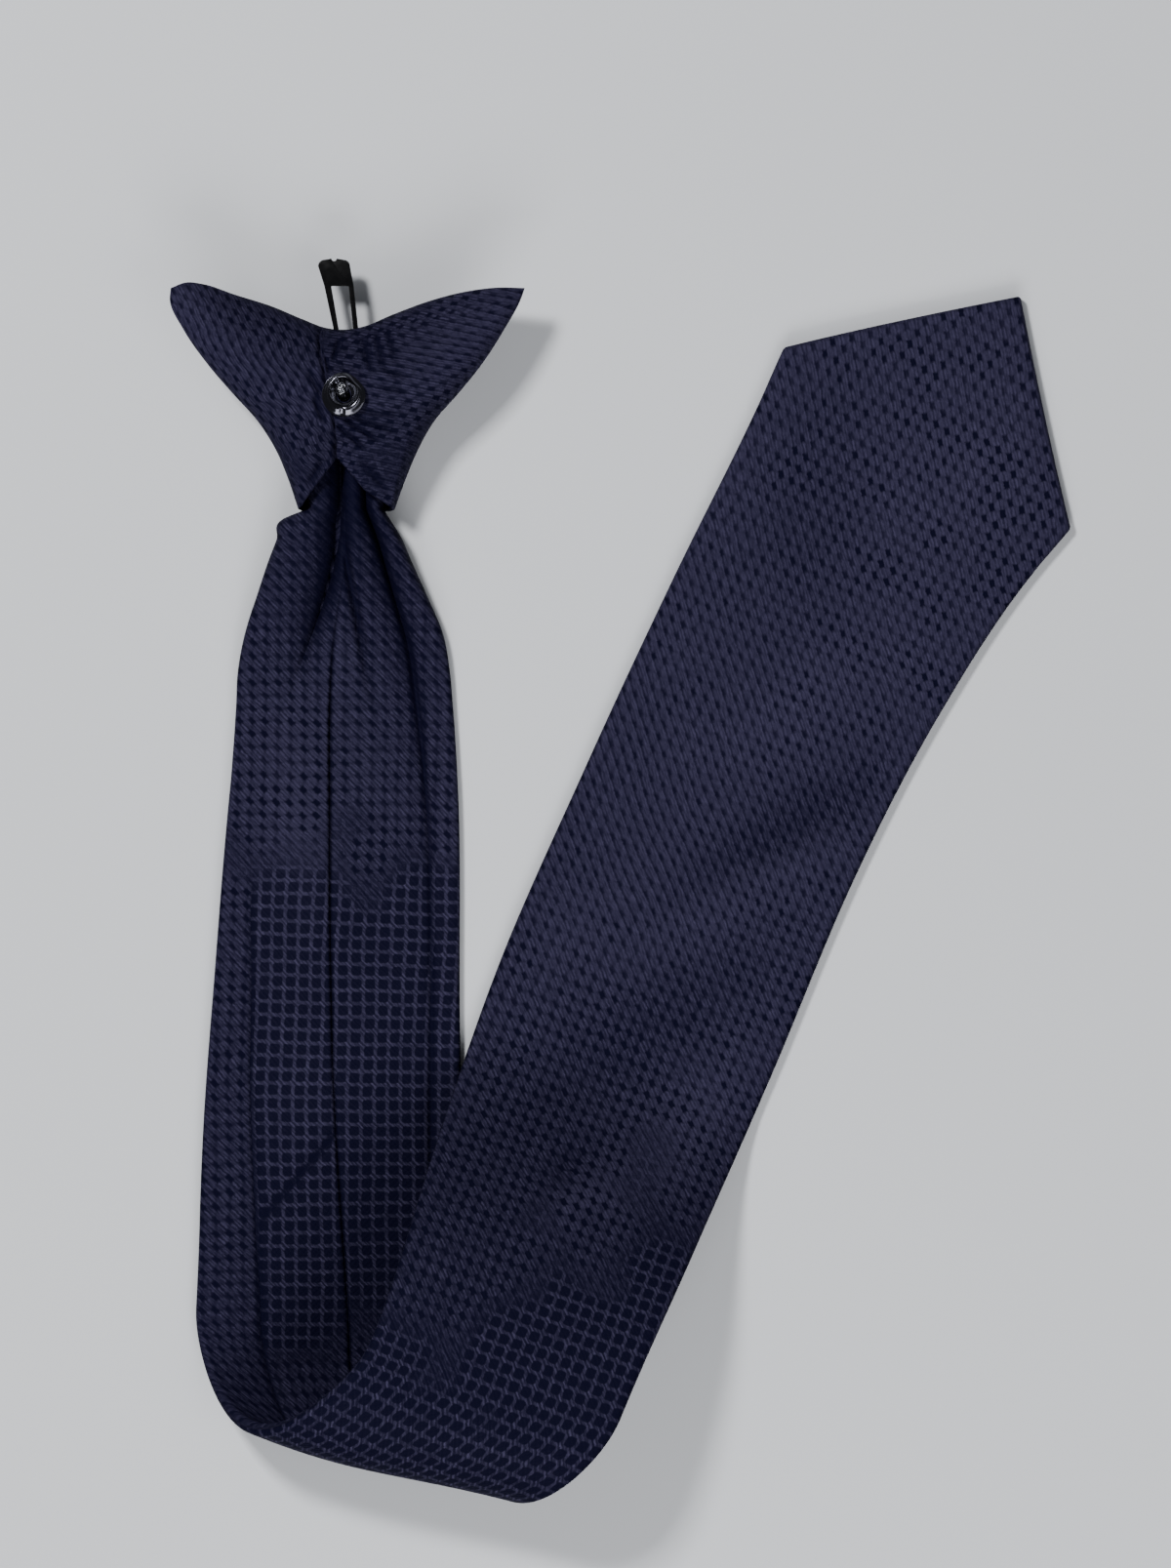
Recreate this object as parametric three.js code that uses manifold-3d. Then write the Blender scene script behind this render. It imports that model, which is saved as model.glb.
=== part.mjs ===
// A clip on tie, lying on its face and folded once, in millimetres with +Z up out of the surface it lies on.
// The working frame has its origin at the middle of the knot's opening, with the knot towards +Y. The finished
// group is moved so that the origin lies under the middle of the whole tie, on the surface.
import * as THREE from "three";
import { mergeVertices } from "three/addons/utils/BufferGeometryUtils.js";
import Module from "manifold-3d";

const wasm = await Module();
wasm.setup();

// Driving sizes of the strip
const STRIP_LENGTH = 549.5; // from the knot's opening to the point, along the middle
const BLADE_WIDTH = 80; // across the two corners of the point
const TAIL_WIDTH = 50; // just below the gathers
const STRIP_THICKNESS = 3.2; // both plies and the interlining
const NECK_THICKNESS = 2.6; // where it is pressed into the knot
const FLAP_THICKNESS = 1; // the step where one flap laps the other
const GATHER_LENGTH = 46; // from the knot's opening to the full width
const NECK_INSIDE = 15; // the length hidden in the knot
const ROLL_HEIGHT = 7.4; // the three rolls of cloth at the opening, from valley to crest

// Driving sizes of the fold
const FOLD_REACH = 210.2; // from the knot's opening to the bottom of the fold
const FOLD_CURL = 50.8; // cloth from the start of the bend to its top
const FOLD_FALL = 93.6; // cloth from the top of the bend to the surface again
const FOLD_SLIP = 26.3; // how far the bias cloth moves sideways along the roll
const FOLD_TILT = -16.7; // degrees, the roll's direction across the tie
const FOLD_BELLY = 3.6; // how far the roll bellies out near its left end

// Driving sizes of the knot
const KNOT_WIDTH = 84; // from wing tip to wing tip
const KNOT_HEIGHT = 52.5; // from the opening to the wing tips
const KNOT_THICKNESS = 21; // at its middle, lying on its face
const OPENING_WIDTH = 22.8; // outside the cloth, where the strip comes out
const OPENING_THICKNESS = 13;
const OPENING_RISE = 12.4; // height of the upside down V in the back
const WING_LIFT = 8; // how far the wing tips are clear of the surface
const COVER_WALL = 2; // the cover's cloth and its backing
const LAPEL_STEP = 1; // where the right lapel lies over the left

// Driving sizes of the clip and the rivet
const CLIP_THICKNESS = 0.9;
const CLIP_WIDTH = 7.5; // across the head
const CLIP_OUT = 16.4; // what shows above the knot's notch
const CLIP_HEAD = 6.2; // height of the head above the slot
const CLIP_LEG = 1.2; // width of a leg
const CLIP_ROOT = 1.6; // width of the left leg where it leaves the head
const CLIP_CORNER = 1.5; // rounding of the head
const CLIP_STRAIGHT = 4; // how far the legs run on inside the knot before they spread to the foot
const SLOT_WIDTH = 4.1; // at the top of the slot
const SLOT_WIDTH_LOW = 3.4; // where the legs go into the knot
const CLIP_LEAN = 8; // degrees, the legs lean to the right as they go down
const FOOT_WIDTH = 9;
const FOOT_HEIGHT = 11;
const RIVET_RADIUS = 5.1;
const RIVET_RISE = 2.1;
const RIVET_HOLLOW = 3; // radius of the cap's hollow
const SHANK_RADIUS = 1.5;
const CLEARANCE = 0.3;

// The strip laid flat: how far it swings from straight down and how wide it is, going from the knot to the point
const LAYOUT = [
  { along: -0.03, swing: 0, width: 0.92 },
  { along: 0, swing: 0, width: 0.94 },
  { along: 0.076, swing: 0, width: 1 },
  { along: 0.127, swing: -1.8, width: 1.085 },
  { along: 0.217, swing: -2, width: 1.171 },
  { along: 0.307, swing: 0.9, width: 1.271 },
  { along: 0.389, swing: -2.6, width: 1.335 },
  { along: 0.47, swing: -11.1, width: 1.222 },
  { along: 0.557, swing: -12.9, width: 1.309 },
  { along: 0.651, swing: -11.1, width: 1.388 },
  { along: 0.741, swing: -8.9, width: 1.372 },
  { along: 0.823, swing: -5.6, width: 1.408 },
  { along: 0.904, swing: -2, width: 1.523 },
  { along: 0.928, swing: -1.1, width: 1.598 },
  { along: 1, swing: 0.7, width: 1.651 },
];
// How far the gathers have opened on each side, and how high the rolls still are, by share of their length
const GATHERS = [
  { below: -0.4, left: 0, right: 0, roll: 1 },
  { below: 0, left: 0, right: 0, roll: 1 },
  { below: 0.05, left: 0.38, right: 0.1, roll: 1 },
  { below: 0.155, left: 0.48, right: 0.3, roll: 0.95 },
  { below: 0.24, left: 0.58, right: 0.41, roll: 0.86 },
  { below: 0.43, left: 0.77, right: 0.66, roll: 0.6 },
  { below: 0.63, left: 0.95, right: 0.9, roll: 0.3 },
  { below: 0.85, left: 1.04, right: 0.99, roll: 0.08 },
  { below: 1, left: 1.03, right: 1, roll: 0 },
  { below: 1.4, left: 1, right: 1, roll: 0 },
];
// The lines down the back, from -1 at the left edge to 1 at the right, by share of the strip's length
const LINES = [
  { along: -0.03, left: -0.12, seam: 0.04, right: 0.46 },
  { along: 0.02, left: -0.14, seam: 0.03, right: 0.58 },
  { along: 0.045, left: -0.28, seam: -0.03, right: 0.6 },
  { along: 0.08, left: -0.5, seam: -0.07, right: 0.66 },
  { along: 0.14, left: -0.72, seam: -0.06, right: 0.74 },
  { along: 0.22, left: -0.67, seam: -0.02, right: 0.77 },
  { along: 0.3, left: -0.58, seam: 0.06, right: 0.73 },
  { along: 0.38, left: -0.5, seam: 0.12, right: 0.7 },
  { along: 0.5, left: -0.5, seam: 0.06, right: 0.7 },
  { along: 1, left: -0.5, seam: 0, right: 0.7 },
];
// Depth of the two pressed creases, in shares of the strip's thickness
const CREASES = [
  { along: -0.03, left: 0, right: 0 },
  { along: 0.08, left: 0.04, right: 0.42 },
  { along: 0.14, left: 0.12, right: 0.44 },
  { along: 0.22, left: 0.25, right: 0.4 },
  { along: 0.38, left: 0.28, right: 0.25 },
  { along: 0.46, left: 0.1, right: 0.06 },
  { along: 0.52, left: 0, right: 0 },
  { along: 1, left: 0, right: 0 },
];

// The knot's side edges: half widths by share of its height
const KNOT_SIDES = [
  { up: 0, left: 0.271, right: 0.271 },
  { up: 0.14, left: 0.33, right: 0.335 },
  { up: 0.27, left: 0.4, right: 0.405 },
  { up: 0.4, left: 0.505, right: 0.5 },
  { up: 0.51, left: 0.63, right: 0.622 },
  { up: 0.64, left: 0.77, right: 0.755 },
  { up: 0.8, left: 0.91, right: 0.885 },
  { up: 0.93, left: 0.985, right: 0.975 },
  { up: 0.985, left: 0.98, right: 1 },
];
// The knot's top edge: its height from the left wing tip to the right
const KNOT_TOP = [
  { across: -0.98, up: 0.985 },
  { across: -0.9, up: 1.01 },
  { across: -0.8, up: 1.004 },
  { across: -0.63, up: 0.96 },
  { across: -0.41, up: 0.905 },
  { across: -0.24, up: 0.848 },
  { across: -0.12, up: 0.812 },
  { across: -0.02, up: 0.803 },
  { across: 0.1, up: 0.818 },
  { across: 0.25, up: 0.868 },
  { across: 0.46, up: 0.93 },
  { across: 0.68, up: 0.973 },
  { across: 0.85, up: 0.988 },
  { across: 1, up: 0.985 },
];
// The lower edge of the back: shares of half the opening's width and of the V's rise
const KNOT_V = [
  { s: 0, across: -1, rise: 0 },
  { s: 0.12, across: -0.86, rise: 0.18 },
  { s: 0.44, across: -0.19, rise: 1 },
  { s: 0.6, across: 0.38, rise: 0.38 },
  { s: 0.86, across: 0.93, rise: 0.06 },
  { s: 1, across: 1, rise: 0 },
];
// The knot's thickness and the height of its outline above the face, in shares of the full thickness
const KNOT_DEPTH = [
  { up: -0.2, thick: OPENING_THICKNESS / KNOT_THICKNESS, edge: 0.3 },
  { up: 0, thick: OPENING_THICKNESS / KNOT_THICKNESS, edge: 0.3 },
  { up: 0.25, thick: 0.82, edge: 0.36 },
  { up: 0.5, thick: 1, edge: 0.38 },
  { up: 0.75, thick: 1.02, edge: 0.36 },
  { up: 1, thick: 0.98, edge: 0.34 },
];
const RIVET_AT = { across: -0.011, up: 0.504 }; // shares of half the knot's width and of its height
const SEAT_FLAT = 1.45; // the pressed flat round the rivet, in rivet radii
const SEAT_BLEND = 2.3;

const mix = (a, b, t) => a + (b - a) * t;
const clamp = (t) => Math.min(1, Math.max(0, t));
const smooth = (t) => clamp(t) ** 2 * (3 - 2 * clamp(t));

// A smooth curve through one column of a table, read at a place in its first column.
function through(rows, at, key) {
  const first = Object.keys(rows[0])[0];
  const x = rows.map((row) => row[first]);
  const y = rows.map((row) => row[key]);
  const last = rows.length - 1;
  const slopeAt = (i) => {
    if (i === 0) return (y[1] - y[0]) / (x[1] - x[0]);
    if (i === last) return (y[last] - y[last - 1]) / (x[last] - x[last - 1]);
    const before = x[i] - x[i - 1];
    const after = x[i + 1] - x[i];
    const rise = ((y[i + 1] - y[i]) / after) * before + ((y[i] - y[i - 1]) / before) * after;
    return rise / (before + after);
  };
  const place = Math.min(x[last], Math.max(x[0], at));
  let i = 0;
  while (i < last - 1 && place > x[i + 1]) i++;
  const h = x[i + 1] - x[i];
  const t = (place - x[i]) / h;
  const start = (1 + 2 * t) * (1 - t) ** 2 * y[i] + t * (1 - t) ** 2 * h * slopeAt(i);
  return start + t * t * (3 - 2 * t) * y[i + 1] - t * t * (1 - t) * h * slopeAt(i + 1);
}

// Straight lines through one column of a table.
function along(rows, at, key) {
  const first = Object.keys(rows[0])[0];
  let i = 0;
  while (i < rows.length - 2 && at > rows[i + 1][first]) i++;
  const t = clamp((at - rows[i][first]) / (rows[i + 1][first] - rows[i][first]));
  return mix(rows[i][key], rows[i + 1][key], t);
}

// The flat strip's middle line, walked in short steps from the knot's opening both ways.
const STEP = 1;
const NECK_ASIDE = -0.4; // the neck sits a little to the left in the opening
const CORNER_AT = STRIP_LENGTH - BLADE_WIDTH / 2; // where the two corners of the point lie
const middle = walkMiddle();
function walkMiddle() {
  const from = -Math.ceil(NECK_INSIDE / STEP) * STEP;
  const points = [];
  const at = new THREE.Vector2(NECK_ASIDE, -from);
  for (let v = from; v <= STRIP_LENGTH + STEP; v += STEP) {
    const swing = THREE.MathUtils.degToRad(through(LAYOUT, v / STRIP_LENGTH, "swing"));
    const heading = new THREE.Vector2(Math.sin(swing), -Math.cos(swing));
    points.push({ v, at: at.clone(), across: new THREE.Vector2(-heading.y, heading.x) });
    at.addScaledVector(heading, STEP);
  }
  return points;
}

// The place on the flat strip at v along it and u across it, from -1 at the left edge to 1 at the right.
function flatPlace(v, u) {
  const i = Math.min(middle.length - 2, Math.max(0, Math.floor((v - middle[0].v) / STEP)));
  const t = (v - middle[i].v) / STEP;
  const at = middle[i].at.clone().lerp(middle[i + 1].at, t);
  const across = middle[i].across.clone().lerp(middle[i + 1].across, t).normalize();
  return at.addScaledVector(across, u * halfWidth(v, u));
}

// Half its width: the neck in the knot's opening, the gathers opening, the layout, and the right-angled point.
const NECK_HALF = OPENING_WIDTH / 2 - COVER_WALL - CLEARANCE;
function halfWidth(v, u) {
  const full = (TAIL_WIDTH / 2) * through(LAYOUT, v / STRIP_LENGTH, "width");
  const open = Math.max(0, through(GATHERS, v / GATHER_LENGTH, u < 0 ? "left" : "right"));
  return Math.min(mix(NECK_HALF, full, open), STRIP_LENGTH - v + POINT_BLUNT);
}
const POINT_BLUNT = 0.4; // half the width of the point's own end

// The roll seen from its end: how far the cloth has got and how high it is, at s past the start of the bend.
const foldSteps = walkFold();
function walkFold() {
  const rest = STRIP_THICKNESS / 2;
  const rows = [{ out: 0, up: rest }];
  const turn = (s) => Math.PI * mix(smooth(s / FOLD_CURL), clamp(s / FOLD_CURL), 0.6);
  for (let s = STEP; s <= FOLD_CURL; s += STEP) {
    const angle = turn(s - STEP / 2);
    const before = rows[rows.length - 1];
    rows.push({ out: before.out + STEP * Math.cos(angle), up: before.up + STEP * Math.sin(angle) });
  }
  const top = rows[rows.length - 1];
  const reach = Math.max(...rows.map((row) => row.out));
  for (let s = STEP; s <= FOLD_FALL; s += STEP) {
    const fallen = smooth((s / FOLD_FALL) ** 1.3);
    const before = rows[rows.length - 1];
    const up = mix(top.up, rest, fallen);
    rows.push({ out: before.out - Math.sqrt(STEP * STEP - (up - before.up) ** 2), up });
  }
  return { rows, reach, rest };
}
const FOLD_START = FOLD_REACH - foldSteps.reach;

// Rolls the flat strip over: parallel to the roll nothing changes but the slip, across it the cloth goes round.
function foldPlace(flat) {
  const tilt = THREE.MathUtils.degToRad(FOLD_TILT);
  const roll = new THREE.Vector2(Math.cos(tilt), Math.sin(tilt));
  const out = new THREE.Vector2(Math.sin(tilt), -Math.cos(tilt));
  const past = flat.dot(out) - FOLD_START;
  const slid = flat.dot(roll) + FOLD_SLIP * smooth((past + SLIP_EARLY) / (SLIP_LENGTH * FOLD_CURL));
  const belly = Math.exp(-(((slid - BELLY_AT) / BELLY_LENGTH) ** 2)) * Math.sin(Math.PI * clamp(past / FOLD_CURL)) ** 2;
  const { rows, rest } = foldSteps;
  let reached = { out: past, up: rest };
  if (past > 0) {
    const i = Math.min(rows.length - 2, Math.floor(past / STEP));
    const t = past / STEP - i;
    const beyond = Math.max(0, past - (rows.length - 1) * STEP);
    reached = {
      out: mix(rows[i].out, rows[i + 1].out, Math.min(1, t)) - beyond,
      up: mix(rows[i].up, rows[i + 1].up, Math.min(1, t)),
    };
  }
  const reach = reached.out + FOLD_START + FOLD_BELLY * belly;
  const plan = roll.multiplyScalar(slid).addScaledVector(out, reach);
  return new THREE.Vector3(plan.x, plan.y, reached.up);
}
const SLIP_EARLY = 2.5; // the slip begins a little before the bend
const SLIP_LENGTH = 1.19; // and ends a little after its top, in shares of the curl
const BELLY_AT = 57.6; // along the roll from the line through the origin
const BELLY_LENGTH = 32;

// The strip's middle surface, with the three rolls of the gathers, and its normal on the back's side.
function stripMiddle(v, u) {
  const place = foldPlace(flatPlace(v, u));
  place.z += gatherHeight(v, u);
  return place;
}
function gatherHeight(v, u) {
  const below = v / GATHER_LENGTH;
  const roll = through(GATHERS, below, "roll");
  const lines = [-1, line(v, "left"), line(v, "right"), 1];
  const i = u < lines[1] ? 0 : u < lines[2] ? 1 : 2;
  const q = clamp((u - lines[i]) / (lines[i + 1] - lines[i]));
  const valley = NECK_THICKNESS / 2 + COVER_WALL + CLEARANCE - STRIP_THICKNESS / 2;
  const crest = (ROLL_HEIGHT - NECK_THICKNESS) * Math.pow(4 * q * (1 - q), 0.7);
  return roll * (valley + crest);
}
const line = (v, key) => through(LINES, v / STRIP_LENGTH, key);
function stripNormal(v, u) {
  const d = 0.5;
  const flat = flatPlace(v, u);
  const right = foldPlace(flat.clone().add(new THREE.Vector2(d, 0)));
  const left = foldPlace(flat.clone().add(new THREE.Vector2(-d, 0)));
  const upper = foldPlace(flat.clone().add(new THREE.Vector2(0, d)));
  const lower = foldPlace(flat.clone().add(new THREE.Vector2(0, -d)));
  return right.sub(left).cross(upper.sub(lower)).normalize();
}

const fromEdge = (v, u) => (1 - Math.abs(u)) * halfWidth(v, u);

// Half the thickness, rounded over at the edges.
function halfThickness(v, u) {
  const neck = smooth(v / GATHER_LENGTH);
  const half = mix(NECK_THICKNESS, STRIP_THICKNESS, neck) / 2;
  const round = Math.min(1, fromEdge(v, u) / half);
  return half * Math.sqrt(1 - (1 - round) ** 2);
}

// What is let into the back: the left flap under the right one, and the two pressed creases.
function backRelief(v, u) {
  const seam = line(v, "seam");
  const opened = smooth(v / GATHER_LENGTH - 0.2);
  const lap = u < seam ? (FLAP_THICKNESS * (1 + u)) / (1 + seam) : 0;
  let groove = 0;
  for (const side of ["left", "right"]) {
    const away = Math.abs(u - line(v, side)) * halfWidth(v, u);
    const depth = STRIP_THICKNESS * through(CREASES, v / STRIP_LENGTH, side);
    groove += depth * Math.exp(-((away / CREASE_HALF_WIDTH) ** 2));
  }
  return -(opened * lap + groove) * smooth(fromEdge(v, u) / STRIP_THICKNESS);
}
const CREASE_HALF_WIDTH = 1.4;

// Where the strip's sections lie along it, closer where it bends.
function stripStations() {
  const bendFrom = FOLD_START - 8;
  const bendTo = FOLD_START + FOLD_CURL + 34;
  const stops = [
    [-NECK_INSIDE, 0, 4],
    [0, GATHER_LENGTH, 10],
    [GATHER_LENGTH, bendFrom, 12],
    [bendFrom, bendTo, 30],
    [bendTo, CORNER_AT, 14],
    [CORNER_AT, STRIP_LENGTH, 5],
  ];
  const stations = stops.flatMap(([from, to, count]) =>
    Array.from({ length: count }, (_, i) => mix(from, to, i / count)),
  );
  return [...stations, STRIP_LENGTH];
}

// The places across a section, in shares of the way between the lines down the back.
function backPlaces(v) {
  const lines = [-1, line(v, "left"), line(v, "seam"), line(v, "right"), 1];
  const shares = [
    [0.03, 0.12, 0.4, 0.75, 0.93],
    [0, 0.07, 0.3, 0.65],
    [0, 0.04, 0.35, 0.7, 0.93],
    [0, 0.12, 0.45, 0.8, 0.95],
  ];
  return shares.flatMap((set, i) => set.map((share) => mix(lines[i], lines[i + 1], share)));
}
function facePlaces() {
  const half = [0.985, 0.95, 0.82, 0.6, 0.3];
  return [...half, 0, ...half.map((u) => -u).reverse()];
}

// Joins rings of points into a closed mesh, with a flat cap on each end.
function ringSolid(rings, capPlaces) {
  const count = rings[0].length;
  const points = rings.flat();
  const faces = [];
  for (let r = 0; r + 1 < rings.length; r++) {
    for (let k = 0; k < count; k++) {
      const a = r * count + k;
      const b = r * count + ((k + 1) % count);
      faces.push(a, b, b + count, a, b + count, a + count);
    }
  }
  [0, rings.length - 1].forEach((r, end) => {
    const triangles = THREE.ShapeUtils.triangulateShape(capPlaces[end], []);
    const clockwise = THREE.ShapeUtils.isClockWise(capPlaces[end]);
    for (const [a, b, c] of triangles) {
      const turned = end === 0 ? !clockwise : clockwise;
      faces.push(...(turned ? [a, c, b] : [a, b, c]).map((i) => r * count + i));
    }
  });
  return solidFrom(points, faces);
}

// A manifold solid from points and triangles, facing outwards whichever way they turn.
function solidFrom(points, faces) {
  const geometry = new THREE.BufferGeometry().setFromPoints(points);
  geometry.setIndex(faces);
  return geometrySolid(geometry);
}
function geometrySolid(geometry) {
  const bare = geometry.clone();
  bare.deleteAttribute("normal");
  bare.deleteAttribute("uv");
  const merged = mergeVertices(bare, 1e-3);
  const vertProperties = new Float32Array(merged.attributes.position.array);
  const triVerts = new Uint32Array(merged.index.array);
  const solid = new wasm.Manifold(new wasm.Mesh({ numProp: 3, vertProperties, triVerts }));
  if (solid.volume() > 0) return solid;
  for (let i = 0; i < triVerts.length; i += 3) {
    [triVerts[i + 1], triVerts[i + 2]] = [triVerts[i + 2], triVerts[i + 1]];
  }
  return new wasm.Manifold(new wasm.Mesh({ numProp: 3, vertProperties, triVerts }));
}
function meshOf(name, solid, material) {
  const { vertProperties, triVerts } = solid.getMesh();
  const geometry = new THREE.BufferGeometry();
  geometry.setAttribute("position", new THREE.BufferAttribute(new Float32Array(vertProperties), 3));
  geometry.setIndex(new THREE.BufferAttribute(new Uint32Array(triVerts), 1));
  geometry.computeVertexNormals();
  const mesh = new THREE.Mesh(geometry, material);
  mesh.name = name;
  return mesh;
}

// The whole strip: rings of the back from left to right and the face from right to left.
function makeStrip() {
  const flatRings = [];
  const rings = stripStations().map((v) => {
    const put = (u, side) => {
      const lift = side * halfThickness(v, u) + (side > 0 ? backRelief(v, u) : 0);
      return stripMiddle(v, u).addScaledVector(stripNormal(v, u), lift);
    };
    const back = backPlaces(v).map((u) => put(u, 1));
    const face = facePlaces().map((u) => put(u, -1));
    const ring = [put(-1, 1), ...back, put(1, 1), ...face];
    flatRings.push(
      [-1, ...backPlaces(v), 1, ...facePlaces()].map((u, i) => {
        const side = i === 0 || i > backPlaces(v).length ? -1 : 1;
        return new THREE.Vector2(u * halfWidth(v, u), side * halfThickness(v, u));
      }),
    );
    return ring;
  });
  return ringSolid(rings, [flatRings[0], flatRings[flatRings.length - 1]]);
}
// A place on the knot in plan: s from the left edge to the right, t from the opening to the top edge.
function knotPlan(s, t, back) {
  const half = KNOT_WIDTH / 2;
  const corner = KNOT_SIDES[KNOT_SIDES.length - 1];
  const side = (sign, key) => {
    const up = t * corner.up;
    const ease = t < 0 ? KNOT_SIDES[0][key] : through(KNOT_SIDES, up, key);
    return new THREE.Vector2(sign * half * ease, up * KNOT_HEIGHT);
  };
  const left = side(-1, "left");
  const right = side(1, "right");
  const first = KNOT_TOP[0].across;
  const across = mix(first, KNOT_TOP[KNOT_TOP.length - 1].across, s);
  const top = new THREE.Vector2(half * across, KNOT_HEIGHT * through(KNOT_TOP, across, "up"));
  const wide = OPENING_WIDTH / 2;
  const bottom = back
    ? new THREE.Vector2(wide * along(KNOT_V, s, "across"), OPENING_RISE * along(KNOT_V, s, "rise"))
    : new THREE.Vector2(wide * (2 * s - 1), 0);
  const up = clamp(t);
  const at = left.multiplyScalar(1 - s).addScaledVector(right, s);
  at.addScaledVector(bottom, 1 - up).addScaledVector(top, up);
  const corners = [
    [(1 - s) * (1 - up), -wide, 0],
    [s * (1 - up), wide, 0],
    [(1 - s) * up, -half * corner.left, KNOT_HEIGHT * corner.up],
    [s * up, half * corner.right, KNOT_HEIGHT * corner.up],
  ];
  for (const [weight, x, y] of corners) at.sub(new THREE.Vector2(weight * x, weight * y));
  return at;
}

// How full the padding is at a place, from 0 on the outline to 1 in the middle.
function fullness(s, t) {
  const acrossFull = Math.sqrt(1 - Math.abs(2 * s - 1) ** 3);
  const upFull = Math.sqrt(1 - clamp(t) ** 3);
  return acrossFull * upFull;
}

// The knot's seam between its lapels, from the V's apex to the notch.
const KNOT_SEAM = { low: KNOT_V[2].s, high: 0.43 };
const seamPlace = (t) => mix(KNOT_SEAM.low, KNOT_SEAM.high, clamp(t));

// A place on the knot's back or face, drawn in by the wall where it is the hollow's.
function knotPlace(s, t, back, wall) {
  const plan = knotPlan(s, t, back);
  const depth = (key) => KNOT_THICKNESS * through(KNOT_DEPTH, clamp(t), key);
  const wing = smooth((Math.abs(plan.x) / (KNOT_WIDTH / 2) - 0.3) / 0.7);
  const lift = WING_LIFT * wing;
  const full = fullness(s, t);
  const edge = depth("edge");
  if (!back) {
    const low = lift + edge * (1 - Math.min(1, FACE_FLAT * full));
    return new THREE.Vector3(plan.x, plan.y, low + wall);
  }
  const seam = seamPlace(t);
  const lap = s > seam ? LAPEL_STEP * (1 - (s - seam) / (1 - seam)) * Math.min(1, 2 * full) : 0;
  let high = lift + edge + (depth("thick") - edge) * full + lap;
  const away = Math.hypot(plan.x - rivetAt.x, plan.y - rivetAt.y) / RIVET_RADIUS;
  const pressed = 1 - smooth((away - SEAT_FLAT) / (SEAT_BLEND - SEAT_FLAT));
  high = mix(high, SEAT_HEIGHT, pressed);
  return new THREE.Vector3(plan.x, plan.y, high - wall);
}
const FACE_FLAT = 1.3; // above 1 the face is pressed flat in its middle
const rivetAt = new THREE.Vector2((RIVET_AT.across * KNOT_WIDTH) / 2, RIVET_AT.up * KNOT_HEIGHT);
const SEAT_HEIGHT = 0.93 * KNOT_THICKNESS;

// The closed form of the knot, or of its hollow, between two heights and two margins.
function knotForm({ from, to, margin, wall, rows }) {
  const shares = [0, 0.02, 0.06, 0.13, 0.23, 0.34, 0.42];
  const columns = (t) => {
    const seam = seamPlace(t);
    const left = shares.map((share) => mix(0, seam, share / 0.44));
    const right = [0.45, ...shares.map((share) => 1 - share).reverse()].map((share) =>
      mix(seam, 1, (share - 0.44) / 0.56),
    );
    return [...left, seam, ...right];
  };
  const rings = rows.map((share) => {
    const t = mix(from, to, share);
    const inset = margin(t);
    const places = columns(t).map((s) => mix(inset, 1 - inset, s));
    const back = places.map((s) => knotPlace(s, t, true, wall));
    const face = places.map((s) => knotPlace(s, t, false, wall));
    face.forEach((point, i) => {
      const sunk = wall > 0 && back[i].z - point.z < HOLLOW_LEAST;
      if (sunk) point.z = back[i].z - HOLLOW_LEAST;
    });
    return { back, face: face.reverse() };
  });
  const count = rings[0].back.length;
  const points = rings.flatMap((ring) => [...ring.back, ...ring.face]);
  const faces = [];
  const quad = (a, b, c, d) => faces.push(a, b, c, a, c, d);
  rings.slice(1).forEach((_, r) => {
    const low = r * 2 * count;
    const high = low + 2 * count;
    for (let k = 0; k < 2 * count; k++) {
      const next = (k + 1) % (2 * count);
      quad(low + k, low + next, high + next, high + k);
    }
  });
  [0, rings.length - 1].forEach((r, end) => {
    const base = r * 2 * count;
    for (let k = 0; k + 1 < count; k++) {
      const other = 2 * count - 1 - k;
      const cap = [base + k, base + other, base + other - 1, base + k + 1];
      quad(...(end === 0 ? cap : cap.reverse()));
    }
  });
  return solidFrom(points, faces);
}
const HOLLOW_LEAST = 0.8; // the least height of the hollow inside the wings

function makeKnot(clipCutter) {
  const even = (count) => Array.from({ length: count + 1 }, (_, i) => i / count);
  const rows = [0, 0.03, 0.07, 0.12, 0.18, 0.25, 0.33, 0.42, 0.5, 0.58, 0.66, 0.74, 0.82, 0.89, 0.94, 0.975, 1];
  const outer = knotForm({ from: 0, to: 1, margin: () => 0, wall: 0, rows });
  const margin = (t) => COVER_WALL / mix(OPENING_WIDTH, KNOT_WIDTH, clamp(t));
  const mouth = -0.16;
  const hollow = knotForm({ from: mouth, to: 0.93, margin, wall: COVER_WALL, rows: even(12) });
  const hole = new THREE.CylinderGeometry(
    SHANK_RADIUS + CLEARANCE,
    SHANK_RADIUS + CLEARANCE,
    KNOT_THICKNESS,
    16,
  );
  hole.rotateX(Math.PI / 2).translate(rivetAt.x, rivetAt.y, CLIP_LEVEL + KNOT_THICKNESS / 2);
  return outer.subtract(hollow).subtract(geometrySolid(hole)).subtract(clipCutter);
}

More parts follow.
